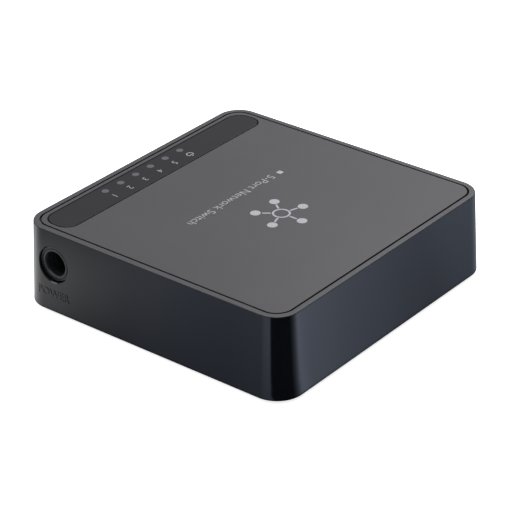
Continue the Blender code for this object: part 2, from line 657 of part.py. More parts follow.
def dc_jack_body():
    low = (JACK_AXIS_Y - JACK_Y / 2, PARTS_LOW)
    high = (JACK_AXIS_Y + JACK_Y / 2, JACK_Z + JACK_TOP)
    axis = (JACK_AXIS_Y, JACK_Z)
    body = solid("dc_jack_body", [prism(rectangle(low, high), JACK_REAR, JACK_BOX_HIGH)], "X")
    join(body, [prism(circle(axis, JACK_BARREL_RADIUS, 32), JACK_BOX_HIGH - ROOT, JACK_NOSE)], "X")
    cut(body, [prism(circle(axis, JACK_BORE_RADIUS, 24), JACK_NOSE - JACK_BORE_DEPTH, JACK_NOSE + PAST)], "X")
    cut(body, [prism(circle(axis, PIN_RADIUS + GAP, 12), JACK_REAR - PAST, JACK_NOSE - PAST)], "X")
    low = (JACK_REAR - PAST, JACK_Z - CHANNEL_FLOOR_BELOW)
    high = (SPRING_ROOT_X + SPRING_TIP_OUT + CHANNEL_PAST_TIP, JACK_Z - JACK_BORE_RADIUS / 2)
    channel = prism(rectangle(low, high), JACK_AXIS_Y - CHANNEL_Y / 2, JACK_AXIS_Y + CHANNEL_Y / 2)
    cut(body, [channel], "Y")
    finish(body, "141416", 0.4)


def dc_jack_inside():
    axis = (JACK_AXIS_Y, JACK_Z)
    tip = JACK_NOSE - PIN_RECESS
    tail = JACK_REAR - PIN_TAIL
    profile = [(PIN_RADIUS, tail), (PIN_RADIUS, tip - PIN_NOSE), (PIN_RADIUS - PIN_NOSE, tip)]
    finish(solid("dc_jack_pin", [turned(axis, profile, 14)], "X"), "B9BBBF", 0.25, 1.0)
    low = (JACK_AXIS_Y - TERMINAL_Y / 2, PARTS_LOW)
    high = (JACK_AXIS_Y + TERMINAL_Y / 2, JACK_Z + TERMINAL_Y / 2)
    terminal = solid("dc_jack_terminal", [prism(rectangle(low, high), TERMINAL_LOW, TERMINAL_HIGH)], "X")
    hole = circle(axis, PIN_RADIUS + GAP, 12)
    cut(terminal, [prism(hole, TERMINAL_LOW - PAST, TERMINAL_HIGH + PAST)], "X")
    finish(terminal, "B9BBBF", 0.3, 1.0)


def dc_jack_spring():
    """A leaf that rises from its root into the bore and falls again at its tip."""
    crest = (SPRING_CREST_OUT, SPRING_ROOT_BELOW - SPRING_CREST_BELOW)
    tip = (SPRING_TIP_OUT, SPRING_ROOT_BELOW - SPRING_TIP_BELOW)
    upper = [(0.0, 0.0), crest, tip]
    outline = [(u, v - SPRING_THICKNESS) for u, v in upper] + upper[::-1]
    leaf = solid("dc_jack_spring", [prism(outline, -SPRING_WIDTH / 2, SPRING_WIDTH / 2)], "Y")
    leaf.location = (SPRING_ROOT_X, JACK_AXIS_Y, JACK_Z - SPRING_ROOT_BELOW)
    finish(leaf, "C4B58A", 0.3, 1.0)


# Parts on the board


def block(name, at, size_x, size_y, low, height, colour, roughness, bevel=CHIP_BEVEL):
    """A moulded part with a bevelled top edge."""
    levels = [(0.0, low), (0.0, low + height - bevel), (bevel, low + height)]
    sections = [(rectangle(*around(at, size_x - 2 * cut_in, size_y - 2 * cut_in)), z) for cut_in, z in levels]
    return finish(solid(name, [sections]), colour, roughness)


def chip_and_cooler():
    block("switch_chip", CHIP_AT, CHIP_SIDE, CHIP_SIDE, PARTS_LOW, CHIP_HEIGHT, "202124", 0.6)
    pad_low = PARTS_LOW + CHIP_HEIGHT + GAP
    pad = rectangle(*around(CHIP_AT, CHIP_SIDE, CHIP_SIDE))
    finish(solid("thermal_pad", [prism(pad, pad_low, pad_low + PAD_THICKNESS)]), "8FA3B5", 0.8)
    base_low = pad_low + PAD_THICKNESS + GAP
    start = CHIP_AT[0] - SINK_SIDE / 2
    stop = CHIP_AT[0] + SINK_SIDE / 2
    spread = SINK_SIDE - SINK_FIN_WIDTH - 2 * GAP
    fins = [start + GAP + SINK_FIN_WIDTH / 2 + spread * fin / (SINK_FINS - 1) for fin in range(SINK_FINS)]
    outline = comb((start, stop), base_low, base_low + SINK_BASE, base_low + SINK_HEIGHT, fins, SINK_FIN_WIDTH)
    side = (CHIP_AT[1] - SINK_SIDE / 2, CHIP_AT[1] + SINK_SIDE / 2)
    finish(solid("heat_sink", [prism(outline, *side)], "Y"), "8B8E93", 0.35, 1.0)


def transformers():
    for count, x in enumerate(port_places(), start=1):
        at = (x, TRANSFORMER_ROW_Y)
        size = (TRANSFORMER_X, TRANSFORMER_Y)
        block(f"transformer_{count}", at, *size, PARTS_LOW, TRANSFORMER_HEIGHT, "1D1D20", 0.5)


def small_parts():
    low, high = around(CRYSTAL_AT, CRYSTAL_X, CRYSTAL_Y)
    can = prism(rounded(low, high, CRYSTAL_Y / 2 - MM / 10, steps=5), PARTS_LOW, PARTS_LOW + CRYSTAL_HEIGHT)
    finish(solid("crystal", [can]), "B4B6BA", 0.25, 1.0)
    for name, at in (("config_memory", MEMORY_AT), ("regulator", REGULATOR_AT)):
        block(name, at, SMALL_CHIP_X, SMALL_CHIP_Y, PARTS_LOW, SMALL_CHIP_HEIGHT, "202124", 0.6)
    for count in (1, 2):
        y = INDUCTOR_ROW_Y + (count - 1) * (INDUCTOR_SIDE + POWER_PART_SPACE)
        low, high = around((POWER_X, y), INDUCTOR_SIDE, INDUCTOR_SIDE)
        outline = rounded(low, high, INDUCTOR_CORNER, steps=1)
        core = prism(outline, PARTS_LOW, PARTS_LOW + INDUCTOR_HEIGHT)
        finish(solid(f"inductor_{count}", [core]), "3A3B3E", 0.55)
    for count, at in enumerate(CAN_AT, start=1):
        capacitor(f"capacitor_{count}", at)
    block("diode", (POWER_X, DIODE_ROW_Y), DIODE_X, DIODE_Y, PARTS_LOW, DIODE_HEIGHT, "1E1E20", 0.5)
    block("fuse", (POWER_X, FUSE_ROW_Y), FUSE_X, FUSE_Y, PARTS_LOW, FUSE_HEIGHT, "3F7A4C", 0.5)


def capacitor(name, at):
    """An aluminium can with a rolled neck on a square foot."""
    foot_top = PARTS_LOW + CAN_BASE_HEIGHT
    can_top = PARTS_LOW + CAN_HEIGHT
    foot = rectangle(*around(at, CAN_BASE, CAN_BASE))
    piece = solid(name, [prism(foot, PARTS_LOW, foot_top)])
    neck = foot_top + 2 * CAN_NECK
    profile = [
        (CAN_RADIUS - CAN_NECK, foot_top - ROOT),
        (CAN_RADIUS - CAN_NECK, neck),
        (CAN_RADIUS, neck + CAN_NECK),
        (CAN_RADIUS, can_top - CAN_CROWN),
        (CAN_RADIUS - CAN_CROWN, can_top),
    ]
    join(piece, [turned(at, profile, 20)])
    finish(piece, "B9BCC0", 0.3, 1.0)


def build():
    for piece in list(bpy.data.objects):
        bpy.data.objects.remove(piece)
    top_shell()
    top_plate()
    indicator_window()
    light_pipe()
    indicator_lamps()
    base_plate()
    feet()
    screws()
    rating_label()
    main_board()
    port_housing()
    port_contacts()
    dc_jack_body()
    dc_jack_inside()
    dc_jack_spring()
    chip_and_cooler()
    transformers()
    small_parts()


build()
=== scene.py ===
"""Looks of a desktop network switch: moulded casing, matt top plate, smoked indicator window, network
sockets on the -Y side and a round power inlet on the +X side. Metres, +Z up."""

import json
import math

import bmesh
import bpy
import numpy as np
from mathutils import Matrix, Quaternion, Vector


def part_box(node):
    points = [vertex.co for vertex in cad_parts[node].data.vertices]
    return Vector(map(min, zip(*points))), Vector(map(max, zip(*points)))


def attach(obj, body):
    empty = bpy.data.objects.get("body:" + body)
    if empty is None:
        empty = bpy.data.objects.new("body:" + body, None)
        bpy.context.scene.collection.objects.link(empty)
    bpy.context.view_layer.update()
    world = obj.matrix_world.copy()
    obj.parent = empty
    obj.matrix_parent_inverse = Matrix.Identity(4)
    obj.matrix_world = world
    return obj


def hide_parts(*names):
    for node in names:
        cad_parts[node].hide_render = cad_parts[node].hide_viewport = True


MM = 0.001
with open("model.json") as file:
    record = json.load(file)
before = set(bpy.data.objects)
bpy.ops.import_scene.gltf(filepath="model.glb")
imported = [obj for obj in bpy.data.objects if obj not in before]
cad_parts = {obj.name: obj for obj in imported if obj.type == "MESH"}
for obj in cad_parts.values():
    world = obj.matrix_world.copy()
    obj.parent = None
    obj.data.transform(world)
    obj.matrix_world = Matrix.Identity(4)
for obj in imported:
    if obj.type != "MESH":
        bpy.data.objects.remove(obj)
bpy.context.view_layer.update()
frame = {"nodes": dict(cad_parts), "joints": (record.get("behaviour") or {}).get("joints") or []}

# ---------------------------------------------------------------- sizes

# Casing, as moulded. Over its height a corner's radius shrinks by the taper and a side leans in by the draft.
CASE_CORNER = 7.5 * MM
CORNER_TAPER = 1.0 * MM
DRAFT = 1.1 * MM
WALL = 2.0 * MM
RIM = 1.6 * MM
GROOVE = 0.45 * MM
BOTTOM_ROUND = 0.4 * MM
TOP_ROUND = 0.24 * MM
RIM_ROUND = 0.12 * MM
PLATE_ROUND = 0.1 * MM
WINDOW_ROUND = 0.05 * MM
WINDOW_FRONT_CORNER = 4.0 * MM
WINDOW_REAR_CORNER = 3.5 * MM
WINDOW_GAP = 0.32 * MM
WINDOW_GAP_FLARE = 0.04 * MM
PLATE_CLEARANCE = 0.3 * MM
RECESS_THICKNESS = 1.3 * MM
# How far a cutter reaches past the face that it opens
PAST = 1.0 * MM

# Openings in the casing
PORT_GAP = 0.35 * MM
PORT_OPENING_CORNER = 0.4 * MM
PORT_OPENING_DEPTH = 12 * MM
LAMP_HOLE = 1.3 * MM
JACK_HOLE = 4.86 * MM
JACK_HOLE_BEVEL = 0.2 * MM
JACK_HOLE_DEPTH = 4 * MM

# Print and relief
INK = 0.012 * MM
INK_LIFT = 0.004 * MM
DOT_COUNT = 6
DOT_PITCH = 5.92 * MM
DOT_ROW_X = 3.05 * MM
DOT_FROM_FRONT = 2.4 * MM
DOT_RADIUS = 0.98 * MM
DIGIT_HEIGHT = 1.85 * MM
DIGIT_FROM_FRONT = 6.1 * MM
DIGIT_OFFSET_X = 0.39 * MM
POWER_SIGN_OFFSET_X = 0.1 * MM
POWER_SIGN_OUTER = 1.05 * MM
POWER_SIGN_INNER = 0.78 * MM
POWER_STROKE_HALF = (0.14 * MM, 0.55 * MM)
POWER_STROKE_RISE = 0.75 * MM
WORDS = "5-Port Network Switch"
WORDS_AT = (1.7 * MM, -6.5 * MM)
WORDS_HEIGHT = 2.4 * MM
BULLET_AT = (-17.85 * MM, -6.3 * MM)
BULLET_HALF = 0.75 * MM
ICON_AT = (-0.1 * MM, 8.1 * MM)
ICON_HUB = 2.4 * MM
ICON_BAND = 0.52 * MM
ICON_REACH = 6.6 * MM
ICON_NODE = 1.35 * MM
ICON_ARMS = 5
SPOKE_HALF = 0.26 * MM
SPOKE_FROM_HUB = 0.3 * MM
SPOKE_FROM_NODE = 1.7 * MM
RAISED_HEIGHT = 2.2 * MM
RAISED_Y = -31.3 * MM
RAISED_RISE = 5.3 * MM

# Power inlet, its profiles as (radius, depth behind the face or tip) in mm
NOSE_LENGTH = 2.2 * MM
NOSE_ROOT = (4.6, 2.7)
NOSE_LIP = ((4.6, 0.5), (4.76, 0.3), (4.76, 0.06), (4.7, 0.0))
NOSE_STEP = ((4.3, 0.0), (4.26, 0.2), (4.1, 0.2), (4.06, 0.05), (4.0, 0.0))
BORE = ((3.3, 9.15), (3.3, 0.4), (3.36, 0.2), (3.5, 0.0), (3.5, -1.0))
PIN_TIP = ((1.0, 0.5), (0.93, 0.22), (0.7, 0.05), (0.4, 0.0))
PIN_ROOT = ((0.9, 0.0), (1.0, -0.1))
PIN_HOLE = 1.3 * MM
BODY_BEVEL = 0.2 * MM
CHANNEL_HALF = 1.6 * MM
CHANNEL_LOW = 5.2 * MM
CHANNEL_HIGH = 1.65 * MM
CHANNEL_PAST_SPRING = 0.7 * MM

# Network sockets
CAVITY_HALF = 5.95 * MM
CAVITY_HEIGHT = 6.9 * MM
CAVITY_DEPTH = 13.0 * MM
CAVITY_ROOF = 1.2 * MM
LATCH_HALF = 2.0 * MM
LATCH_DROP = 2.0 * MM
STEP_HALF = 3.2 * MM
STEP_DROP = 1.1 * MM
MOUTH_BEVEL = 0.25 * MM
BLOCK_BEVEL = 0.15 * MM
WIRES = 8
WIRE_SIDES = 10
WIRE_PITCH = 1.02 * MM
WIRE_RADIUS = 0.19 * MM
ROOT_RADIUS = 0.185 * MM
WIRE_TURN = 0.3 * MM
WIRE_REACH = 7.2 * MM
ROOT_LENGTH = 9.0 * MM
WIRE_TILT = math.radians(12)
SLOT_HALF = 0.32 * MM
SLOT_FROM_END = 1.2 * MM
SLOT_HEIGHT = 0.45 * MM

shell_low, shell_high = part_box("top_shell")
CASE_LOW, CASE_TOP = shell_low.z, shell_high.z
CASE_HEIGHT = CASE_TOP - CASE_LOW
# The CAD shell's widest section is the top of its bottom round, where the draft has begun.
HALF_X = (shell_high.x - shell_low.x) / 2 + DRAFT * BOTTOM_ROUND / CASE_HEIGHT
HALF_Y = (shell_high.y - shell_low.y) / 2 + DRAFT * BOTTOM_ROUND / CASE_HEIGHT
plate_low, plate_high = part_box("top_plate")
window_low, window_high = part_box("indicator_window")
block_low, block_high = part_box("port_housing")
jack_low, jack_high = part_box("dc_jack_body")
pin_low, pin_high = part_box("dc_jack_pin")
JACK_Y = (pin_low.y + pin_high.y) / 2
JACK_Z = (pin_low.z + pin_high.z) / 2
RECESS_FLOOR = plate_low.z - PLATE_CLEARANCE
ROOF_LOW = RECESS_FLOOR - RECESS_THICKNESS
CAVITY_TOP = block_high.z - CAVITY_ROOF
DRAFT_ANGLE = math.atan(DRAFT / CASE_HEIGHT)


# ---------------------------------------------------------------- meshes


def new_object(name, mesh):
    """Puts a mesh, curve or camera into the scene as an object at the origin."""
    piece = bpy.data.objects.new(name, mesh)
    bpy.context.scene.collection.objects.link(piece)
    return piece


def shade(piece, angle=30):
    """Smooth shading, with edges sharper than the angle kept crisp."""
    piece.data.shade_smooth()
    piece.data.set_sharp_from_angle(angle=math.radians(angle))
    return piece


def ring(half_x, half_y, radius, rear_radius=None, corner_steps=20, side_steps=14, centre=(0.0, 0.0)):
    """A rounded rectangle as an (n, 2) array. On a corner the point is its centre plus radius times
    (cos t, sin t). Along a side it is a cosine-spaced mix of the two ends, which crowds at the tangents."""
    rear = radius if rear_radius is None else rear_radius
    corners = ((1, 1, rear, 0), (-1, 1, rear, 90), (-1, -1, radius, 180), (1, -1, radius, 270))
    turn = np.radians(np.linspace(0, 90, corner_steps + 1))
    arcs = []
    for sign_x, sign_y, size, start in corners:
        middle = np.array([sign_x * (half_x - size), sign_y * (half_y - size)])
        angle = turn + math.radians(start)
        arcs.append(middle + size * np.column_stack([np.cos(angle), np.sin(angle)]))
    share = (1 - np.cos(np.pi * np.arange(1, side_steps) / side_steps))[:, None] / 2
    sides = [a[-1] * (1 - share) + b[0] * share for a, b in zip(arcs, arcs[1:] + arcs[:1])]
    return np.concatenate([part for pair in zip(arcs, sides) for part in pair]) + np.array(centre)


def quads(rows, columns, closed_rows=False):
    """Index quads of a grid whose columns run round and close. Row r, column c joins (r, c), (r, c+1),
    (r+1, c+1) and (r+1, c)."""
    row = np.arange(rows if closed_rows else rows - 1)[:, None]
    column = np.arange(columns)[None, :]
    after, above = (column + 1) % columns, (row + 1) % rows
    a, b = row * columns + column, row * columns + after
    c, d = above * columns + after, above * columns + column
    return np.stack([a, b, c, d], axis=-1).reshape(-1, 4)


def loft(name, rings, capped=True):
    """A surface through rings of equal count, stacked as an (m, n, 3) array, with a flat face on each end."""
    rings = np.asarray(rings)
    rows, columns = rings.shape[:2]
    faces = quads(rows, columns, closed_rows=not capped).tolist()
    if capped:
        faces.append(list(range(columns))[::-1])
        faces.append(list(range((rows - 1) * columns, rows * columns)))
    mesh = bpy.data.meshes.new(name)
    mesh.from_pydata(rings.reshape(-1, 3).tolist(), [], faces)
    face_out(mesh)
    return new_object(name, mesh)


def face_out(mesh):
    """Turns a closed mesh's faces outward."""
    shape = bmesh.new()
    shape.from_mesh(mesh)
    bmesh.ops.recalc_face_normals(shape, faces=shape.faces)
    shape.to_mesh(mesh)
    shape.free()


def stacked(outlines, levels):
    """Puts each (n, 2) outline at its level: (x, y, level)."""
    flat = np.asarray(outlines)
    height = np.broadcast_to(np.asarray(levels)[:, None, None], flat.shape[:2] + (1,))
    return np.concatenate([flat, height], axis=2)


def along(points, axis):
    """Turns (u, v, w) points so that w runs along another axis: X gives (w, u, v), Y gives (u, w, v)."""
    order = {"X": (2, 0, 1), "Y": (0, 2, 1), "Z": (0, 1, 2)}[axis]
    return np.asarray(points)[..., order]


def disc(radius, steps, centre=(0.0, 0.0)):
    """A circle as an (n, 2) array: the centre plus radius times (cos t, sin t)."""
    angle = 2 * np.pi * np.arange(steps) / steps
    return np.column_stack([centre[0] + radius * np.cos(angle), centre[1] + radius * np.sin(angle)])


def turned(name, profile, centre, axis="Z", steps=64):
    """A body of revolution: each (radius, level) of the profile is a circle round the axis."""
    outlines = [disc(radius, steps, centre) for radius, _ in profile]
    return loft(name, along(stacked(outlines, [level for _, level in profile]), axis))


def block(name, low, high, inset=0.0):
    """A box with its top and bottom edges cut back by an inset."""
    centre = ((low[0] + high[0]) / 2, (low[1] + high[1]) / 2)
    half = ((high[0] - low[0]) / 2, (high[1] - low[1]) / 2)
    corners = np.array([(-1, -1), (1, -1), (1, 1), (-1, 1)])
    shrinks = (inset, 0.0, 0.0, inset) if inset else (0.0, 0.0)
    levels = (low[2], low[2] + inset, high[2] - inset, high[2]) if inset else (low[2], high[2])
    outlines = [corners * (np.array(half) - shrink) + np.array(centre) for shrink in shrinks]
    return loft(name, stacked(outlines, levels))


def quarter(radius, steps=5):
    """A quarter round as (in, down) pairs, r (1 - sin t) and r (1 - cos t), from the flat to the wall."""
    t = np.linspace(0, np.pi / 2, steps)
    return np.column_stack([radius * (1 - np.sin(t)), radius * (1 - np.cos(t))])


def apply_boolean(piece, other, operation):
    """Cuts or joins exactly, keeps the result as the piece's mesh, and removes the other object."""
    modifier = piece.modifiers.new(operation, "BOOLEAN")
    modifier.operation = operation
    modifier.solver = "EXACT"
    modifier.object = other
    graph = bpy.context.evaluated_depsgraph_get()
    done = bpy.data.meshes.new_from_object(piece.evaluated_get(graph))
    piece.modifiers.clear()
    piece.data = done
    bpy.data.objects.remove(other)


def cut(piece, *others):
    """Takes the others out of the piece."""
    for other in others:
        apply_boolean(piece, other, "DIFFERENCE")


def join(piece, *others):
    """Merges the others into the piece."""
    for other in others:
        apply_boolean(piece, other, "UNION")


def show(piece, body, slot, material, *replaced):
    """Finishes a piece: its material, its body and the CAD nodes that it stands for. The slot is not used."""
    piece.data.materials.clear()
    piece.data.materials.append(material)
    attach(piece, body)
    if replaced:
        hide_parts(*replaced)
    return piece


# ---------------------------------------------------------------- materials


def colour(code):
    """A hex sRGB colour as linear RGBA."""
    parts = np.array([int(code[place : place + 2], 16) for place in (0, 2, 4)]) / 255
    flat = np.where(parts <= 0.04045, parts / 12.92, ((parts + 0.055) / 1.055) ** 2.4)
    return (*flat.tolist(), 1.0)


def add(tree, kind, inputs=None, **settings):
    """Adds a node. Settings are its properties; inputs are values, or sockets to link from."""
    node = tree.nodes.new(kind)
    for name, value in settings.items():
        setattr(node, name, value)
    for name, value in (inputs or {}).items():
        if isinstance(value, bpy.types.NodeSocket):
            tree.links.new(value, node.inputs[name])
        else:
            node.inputs[name].default_value = value
    return node


def blank(name, base, roughness, **inputs):
    """A material with its Principled shader set, and object coordinates to build on."""
    material = bpy.data.materials.new(name)
    material.use_nodes = True
    tree = material.node_tree
    shader = tree.nodes["Principled BSDF"]
    shader.inputs["Base Color"].default_value = colour(base)
    shader.inputs["Roughness"].default_value = roughness
    for key, value in inputs.items():
        shader.inputs[key.replace("_", " ")].default_value = value
    place = add(tree, "ShaderNodeTexCoord").outputs["Object"]
    return material, tree, shader, place


def blend(ramp, dark, light, low=0.0, high=1.0):
    """Sets a ramp's two stops."""
    first, last = ramp.color_ramp.elements
    first.position, last.position = low, high
    first.color, last.color = colour(dark), colour(light)


def mottle(tree, shader, place, size, dark, light, detail=3.0):
    """Slow colour drift between two shades, over patches of the given size. The middle of the noise's range
    is spread over both shades."""
    noise = add(tree, "ShaderNodeTexNoise", {"Vector": place, "Scale": 1 / size, "Detail": detail})
    ramp = add(tree, "ShaderNodeValToRGB", {"Fac": noise.outputs["Fac"]})
    blend(ramp, dark, light, 0.35, 0.65)
    tree.links.new(ramp.outputs["Color"], shader.inputs["Base Color"])


def uneven_gloss(tree, shader, place, size, smooth, rough):
    """Roughness that drifts between two values, as handling and mould polish leave it."""
    noise = add(tree, "ShaderNodeTexNoise", {"Vector": place, "Scale": 1 / size, "Detail": 4.0})
    span = add(tree, "ShaderNodeMapRange", {
        "Value": noise.outputs["Fac"], "From Min": 0.3, "From Max": 0.7, "To Min": smooth, "To Max": rough})
    tree.links.new(span.outputs["Result"], shader.inputs["Roughness"])


def grain(tree, shader, place, size, depth, detail=2.0):
    """Fine bump: grains of one size and depth, in metres."""
    noise = add(tree, "ShaderNodeTexNoise", {"Vector": place, "Scale": 1 / size, "Detail": detail})
    bump = add(tree, "ShaderNodeBump", {"Height": noise.outputs["Fac"], "Distance": depth, "Strength": 1.0})
    tree.links.new(bump.outputs["Normal"], shader.inputs["Normal"])


def painted_light_by_level(tree, shader, place, level, depth, side, rough):
    """Below a level the roughness changes to that of a smooth edge, and the colour to a painted one set apart
    from the top's, standing in for how light falls on top and side; above it stays what feeds the two sockets
    so far. The Mix node has sockets of each type, so its pair is picked by type."""
    height = add(tree, "ShaderNodeSeparateXYZ", {"Vector": place}).outputs["Z"]
    share = add(tree, "ShaderNodeMapRange", {"Value": height, "From Min": level - depth, "From Max": level})
    for name, edge, kind in (("Base Color", colour(side), "RGBA"), ("Roughness", rough, "FLOAT")):
        socket = shader.inputs[name]
        above = socket.links[0].from_socket if socket.links else socket.default_value
        mix = add(tree, "ShaderNodeMix", data_type=kind)
        tree.links.new(share.outputs["Result"], mix.inputs["Factor"])
        low, high = [one for one in mix.inputs if one.type == ("RGBA" if kind == "RGBA" else "VALUE")][-2:]
        low.default_value = edge
        if socket.links:
            tree.links.new(above, high)
        else:
            high.default_value = above
        result = next(one for one in mix.outputs if one.type == low.type)
        tree.links.new(result, socket)


def moulded_abs():
    """ABS from a polished mould: near-black sides that mirror softly, and an etched rim on top whose greyer
    colour is painted light, as if the top caught more of the light.
    """
    material, tree, shader, place = blank("abs_moulded", "2F2F32", 0.5)
    mottle(tree, shader, place, 26 * MM, "39393C", "3C3C3F")
    # The grey of the rim's top above this level is painted light; only the roughness change is the etched
    # finish.
    painted_light_by_level(tree, shader, place, CASE_TOP - 0.03 * MM, 0.03 * MM, "07080B", 0.13)
    grain(tree, shader, place, 1.6 * MM, 0.002 * MM)
    return material


def textured_plate():
    """Polycarbonate, finely etched on its face and smooth at its edges, whose near-black colour is painted
    shade for the groove round the plate and the gap round the window: matt, greyer at a low angle.
    """
    material, tree, shader, place = blank("polycarbonate_etched", "38383A", 0.5)
    mottle(tree, shader, place, 30 * MM, "39383B", "3C3B3E")
    # The near-black below this level is painted shade on the plate's edges, in the groove and round the
    # window.
    painted_light_by_level(tree, shader, place, plate_high.z - 0.02 * MM, 0.05 * MM, "060607", 0.4)
    grain(tree, shader, place, 0.32 * MM, 0.01 * MM, detail=3.0)
    return material


def smoked_window():
    """Smoked acrylic, polished: very dark and mirror-smooth."""
    material, tree, shader, place = blank("acrylic_smoked", "17161A", 0.12)
    mottle(tree, shader, place, 22 * MM, "151418", "19181C")
    uneven_gloss(tree, shader, place, 14 * MM, 0.1, 0.15)
    return material


def printed_ink():
    """Screen-printed grey ink: flat, a little uneven where the mesh laid it down."""
    material, tree, shader, place = blank("screen_ink_grey", "9D9CA3", 0.6)
    mottle(tree, shader, place, 0.5 * MM, "98979E", "A3A2A8")
    grain(tree, shader, place, 0.12 * MM, 0.004 * MM)
    return material


def lamp_ink():
    """Translucent grey ink over the lamps: dimmer than the lettering, slightly violet."""
    material, tree, shader, place = blank("diffusing_ink", "524F58", 0.35)
    mottle(tree, shader, place, 0.4 * MM, "4E4B54", "56535C")
    return material


def textured_abs():
    """ABS from a spark-eroded tool: even matt black with a fine pebble."""
    material, tree, shader, place = blank("moulded_abs_sparked", "16171B", 0.5)
    mottle(tree, shader, place, 12 * MM, "16171B", "1B1C21")
    grain(tree, shader, place, 0.28 * MM, 0.02 * MM)
    return material


def glass_filled_nylon(name="nylon_glass_filled", base="111214"):
    """Glass-filled nylon: dull black with faint flow marks from the gate."""
    material, tree, shader, place = blank(name, base, 0.42)
    wave = add(tree, "ShaderNodeTexWave", {
        "Vector": place, "Scale": 1 / (6 * MM), "Distortion": 7.0, "Detail": 3.0})
    ramp = add(tree, "ShaderNodeValToRGB", {"Fac": wave.outputs["Fac"]})
    blend(ramp, base, "1A1B1E")
    tree.links.new(ramp.outputs["Color"], shader.inputs["Base Color"])
    grain(tree, shader, place, 0.18 * MM, 0.008 * MM)
    return material


def rubber():
    """Moulded rubber: dull, dusty black with a soft pebble."""
    material, tree, shader, place = blank("rubber_moulded", "1C1C1E", 0.85)
    mottle(tree, shader, place, 3 * MM, "19191B", "242426")
    grain(tree, shader, place, 0.35 * MM, 0.03 * MM)
    return material


def metal(name, base, light, roughness, size, depth):
    """Bare or plated metal: colour drifts a little, and a fine grain breaks up the shine."""
    material, tree, shader, place = blank(name, base, roughness, Metallic=1.0)
    mottle(tree, shader, place, size * 6, base, light)
    grain(tree, shader, place, size, depth)
    return material


def solder_mask():
    """Green solder mask over glass cloth: glossy, with traces standing up under it and a faint weave."""
    material, tree, shader, place = blank("solder_mask_green", "1C5B38", 0.3)
    brick = add(tree, "ShaderNodeTexBrick", {
        "Vector": place, "Scale": 1 / (9 * MM), "Mortar Size": 0.05, "Brick Width": 0.6, "Row Height": 0.18,
        "Color1": colour("17502F"), "Color2": colour("1C5B38"), "Mortar": colour("2A7A4C")})
    tree.links.new(brick.outputs["Color"], shader.inputs["Base Color"])
    bump = add(tree, "ShaderNodeBump", {
        "Height": brick.outputs["Fac"], "Distance": 0.03 * MM, "Strength": 0.6})
    tree.links.new(bump.outputs["Normal"], shader.inputs["Normal"])
    return material


def clear_guide():
    """Moulded clear acrylic light guide: glassy, slightly milky at its ends."""
    material, tree, shader, place = blank("acrylic_clear", "DDE3E6", 0.12, Transmission_Weight=0.85, IOR=1.49)
    uneven_gloss(tree, shader, place, 3 * MM, 0.08, 0.2)
    return material


def epoxy_package():
    """Moulded epoxy package: charcoal with a fine filler speckle."""
    material, tree, shader, place = blank("epoxy_moulded", "1B1C1F", 0.6)
    mottle(tree, shader, place, 0.5 * MM, "17181A", "25262A", detail=6.0)
    grain(tree, shader, place, 0.1 * MM, 0.01 * MM)
    return material


def plain(name, base, light, roughness, size, depth, **inputs):
    """A moulded or pressed part whose colour drifts between two shades over a fine grain."""
    material, tree, shader, place = blank(name, base, roughness, **inputs)
    mottle(tree, shader, place, size * 5, base, light)
    grain(tree, shader, place, size, depth)
    return material


MATERIALS = {
    "casing": moulded_abs(),
    "plate": textured_plate(),
    "window": smoked_window(),
    "ink": printed_ink(),
    "lamp_ink": lamp_ink(),
    "base": textured_abs(),
    "ports": glass_filled_nylon(),
    "jack": glass_filled_nylon("nylon_black", "0C0D0F"),
    "rubber": rubber(),
    "screw": metal("steel_zinc_plated", "9FA1A6", "B4B6BA", 0.35, 0.3 * MM, 0.004 * MM),
    "gold": metal("phosphor_bronze_gold_plated", "D8A648", "E3B860", 0.25, 0.2 * MM, 0.002 * MM),
    "nickel": metal("brass_nickel_plated", "B3B4B6", "C6C7C9", 0.2, 0.3 * MM, 0.002 * MM),
    "aluminium": metal("aluminium_bare", "A6A8AC", "BCBEC2", 0.38, 0.4 * MM, 0.006 * MM),
    "board": solder_mask(),
    "guide": clear_guide(),
    "chip": epoxy_package(),
    "lamp": plain("lamp_lens_silicone", "E3DFC8", "EFECDA", 0.3, 0.3 * MM, 0.005 * MM),
    "pad": plain("silicone_pad", "8297AB", "92A6B8", 0.75, 0.4 * MM, 0.03 * MM),
    "ferrite": plain("ferrite_pressed", "333437", "3F4043", 0.55, 0.25 * MM, 0.02 * MM),
    "fuse": plain("fuse_polymer", "2F6B3E", "3A7D4B", 0.45, 0.3 * MM, 0.01 * MM),
    "label": plain("polyester_film_silver", "B4B6B9", "BDBFC2", 0.4, 0.6 * MM, 0.004 * MM, Metallic=0.6),
}


# ---------------------------------------------------------------- casing


def case_ring(level, inset, **steps):
    """The drafted casing's outline at a level, moved in by an inset."""
    share = (level - CASE_LOW) / CASE_HEIGHT
    shrink = DRAFT * share + inset
    return ring(HALF_X - shrink, HALF_Y - shrink, CASE_CORNER - CORNER_TAPER * share - inset, **steps)


def side_x(level):
    """Half the casing's width at a level."""
    return HALF_X - DRAFT * (level - CASE_LOW) / CASE_HEIGHT


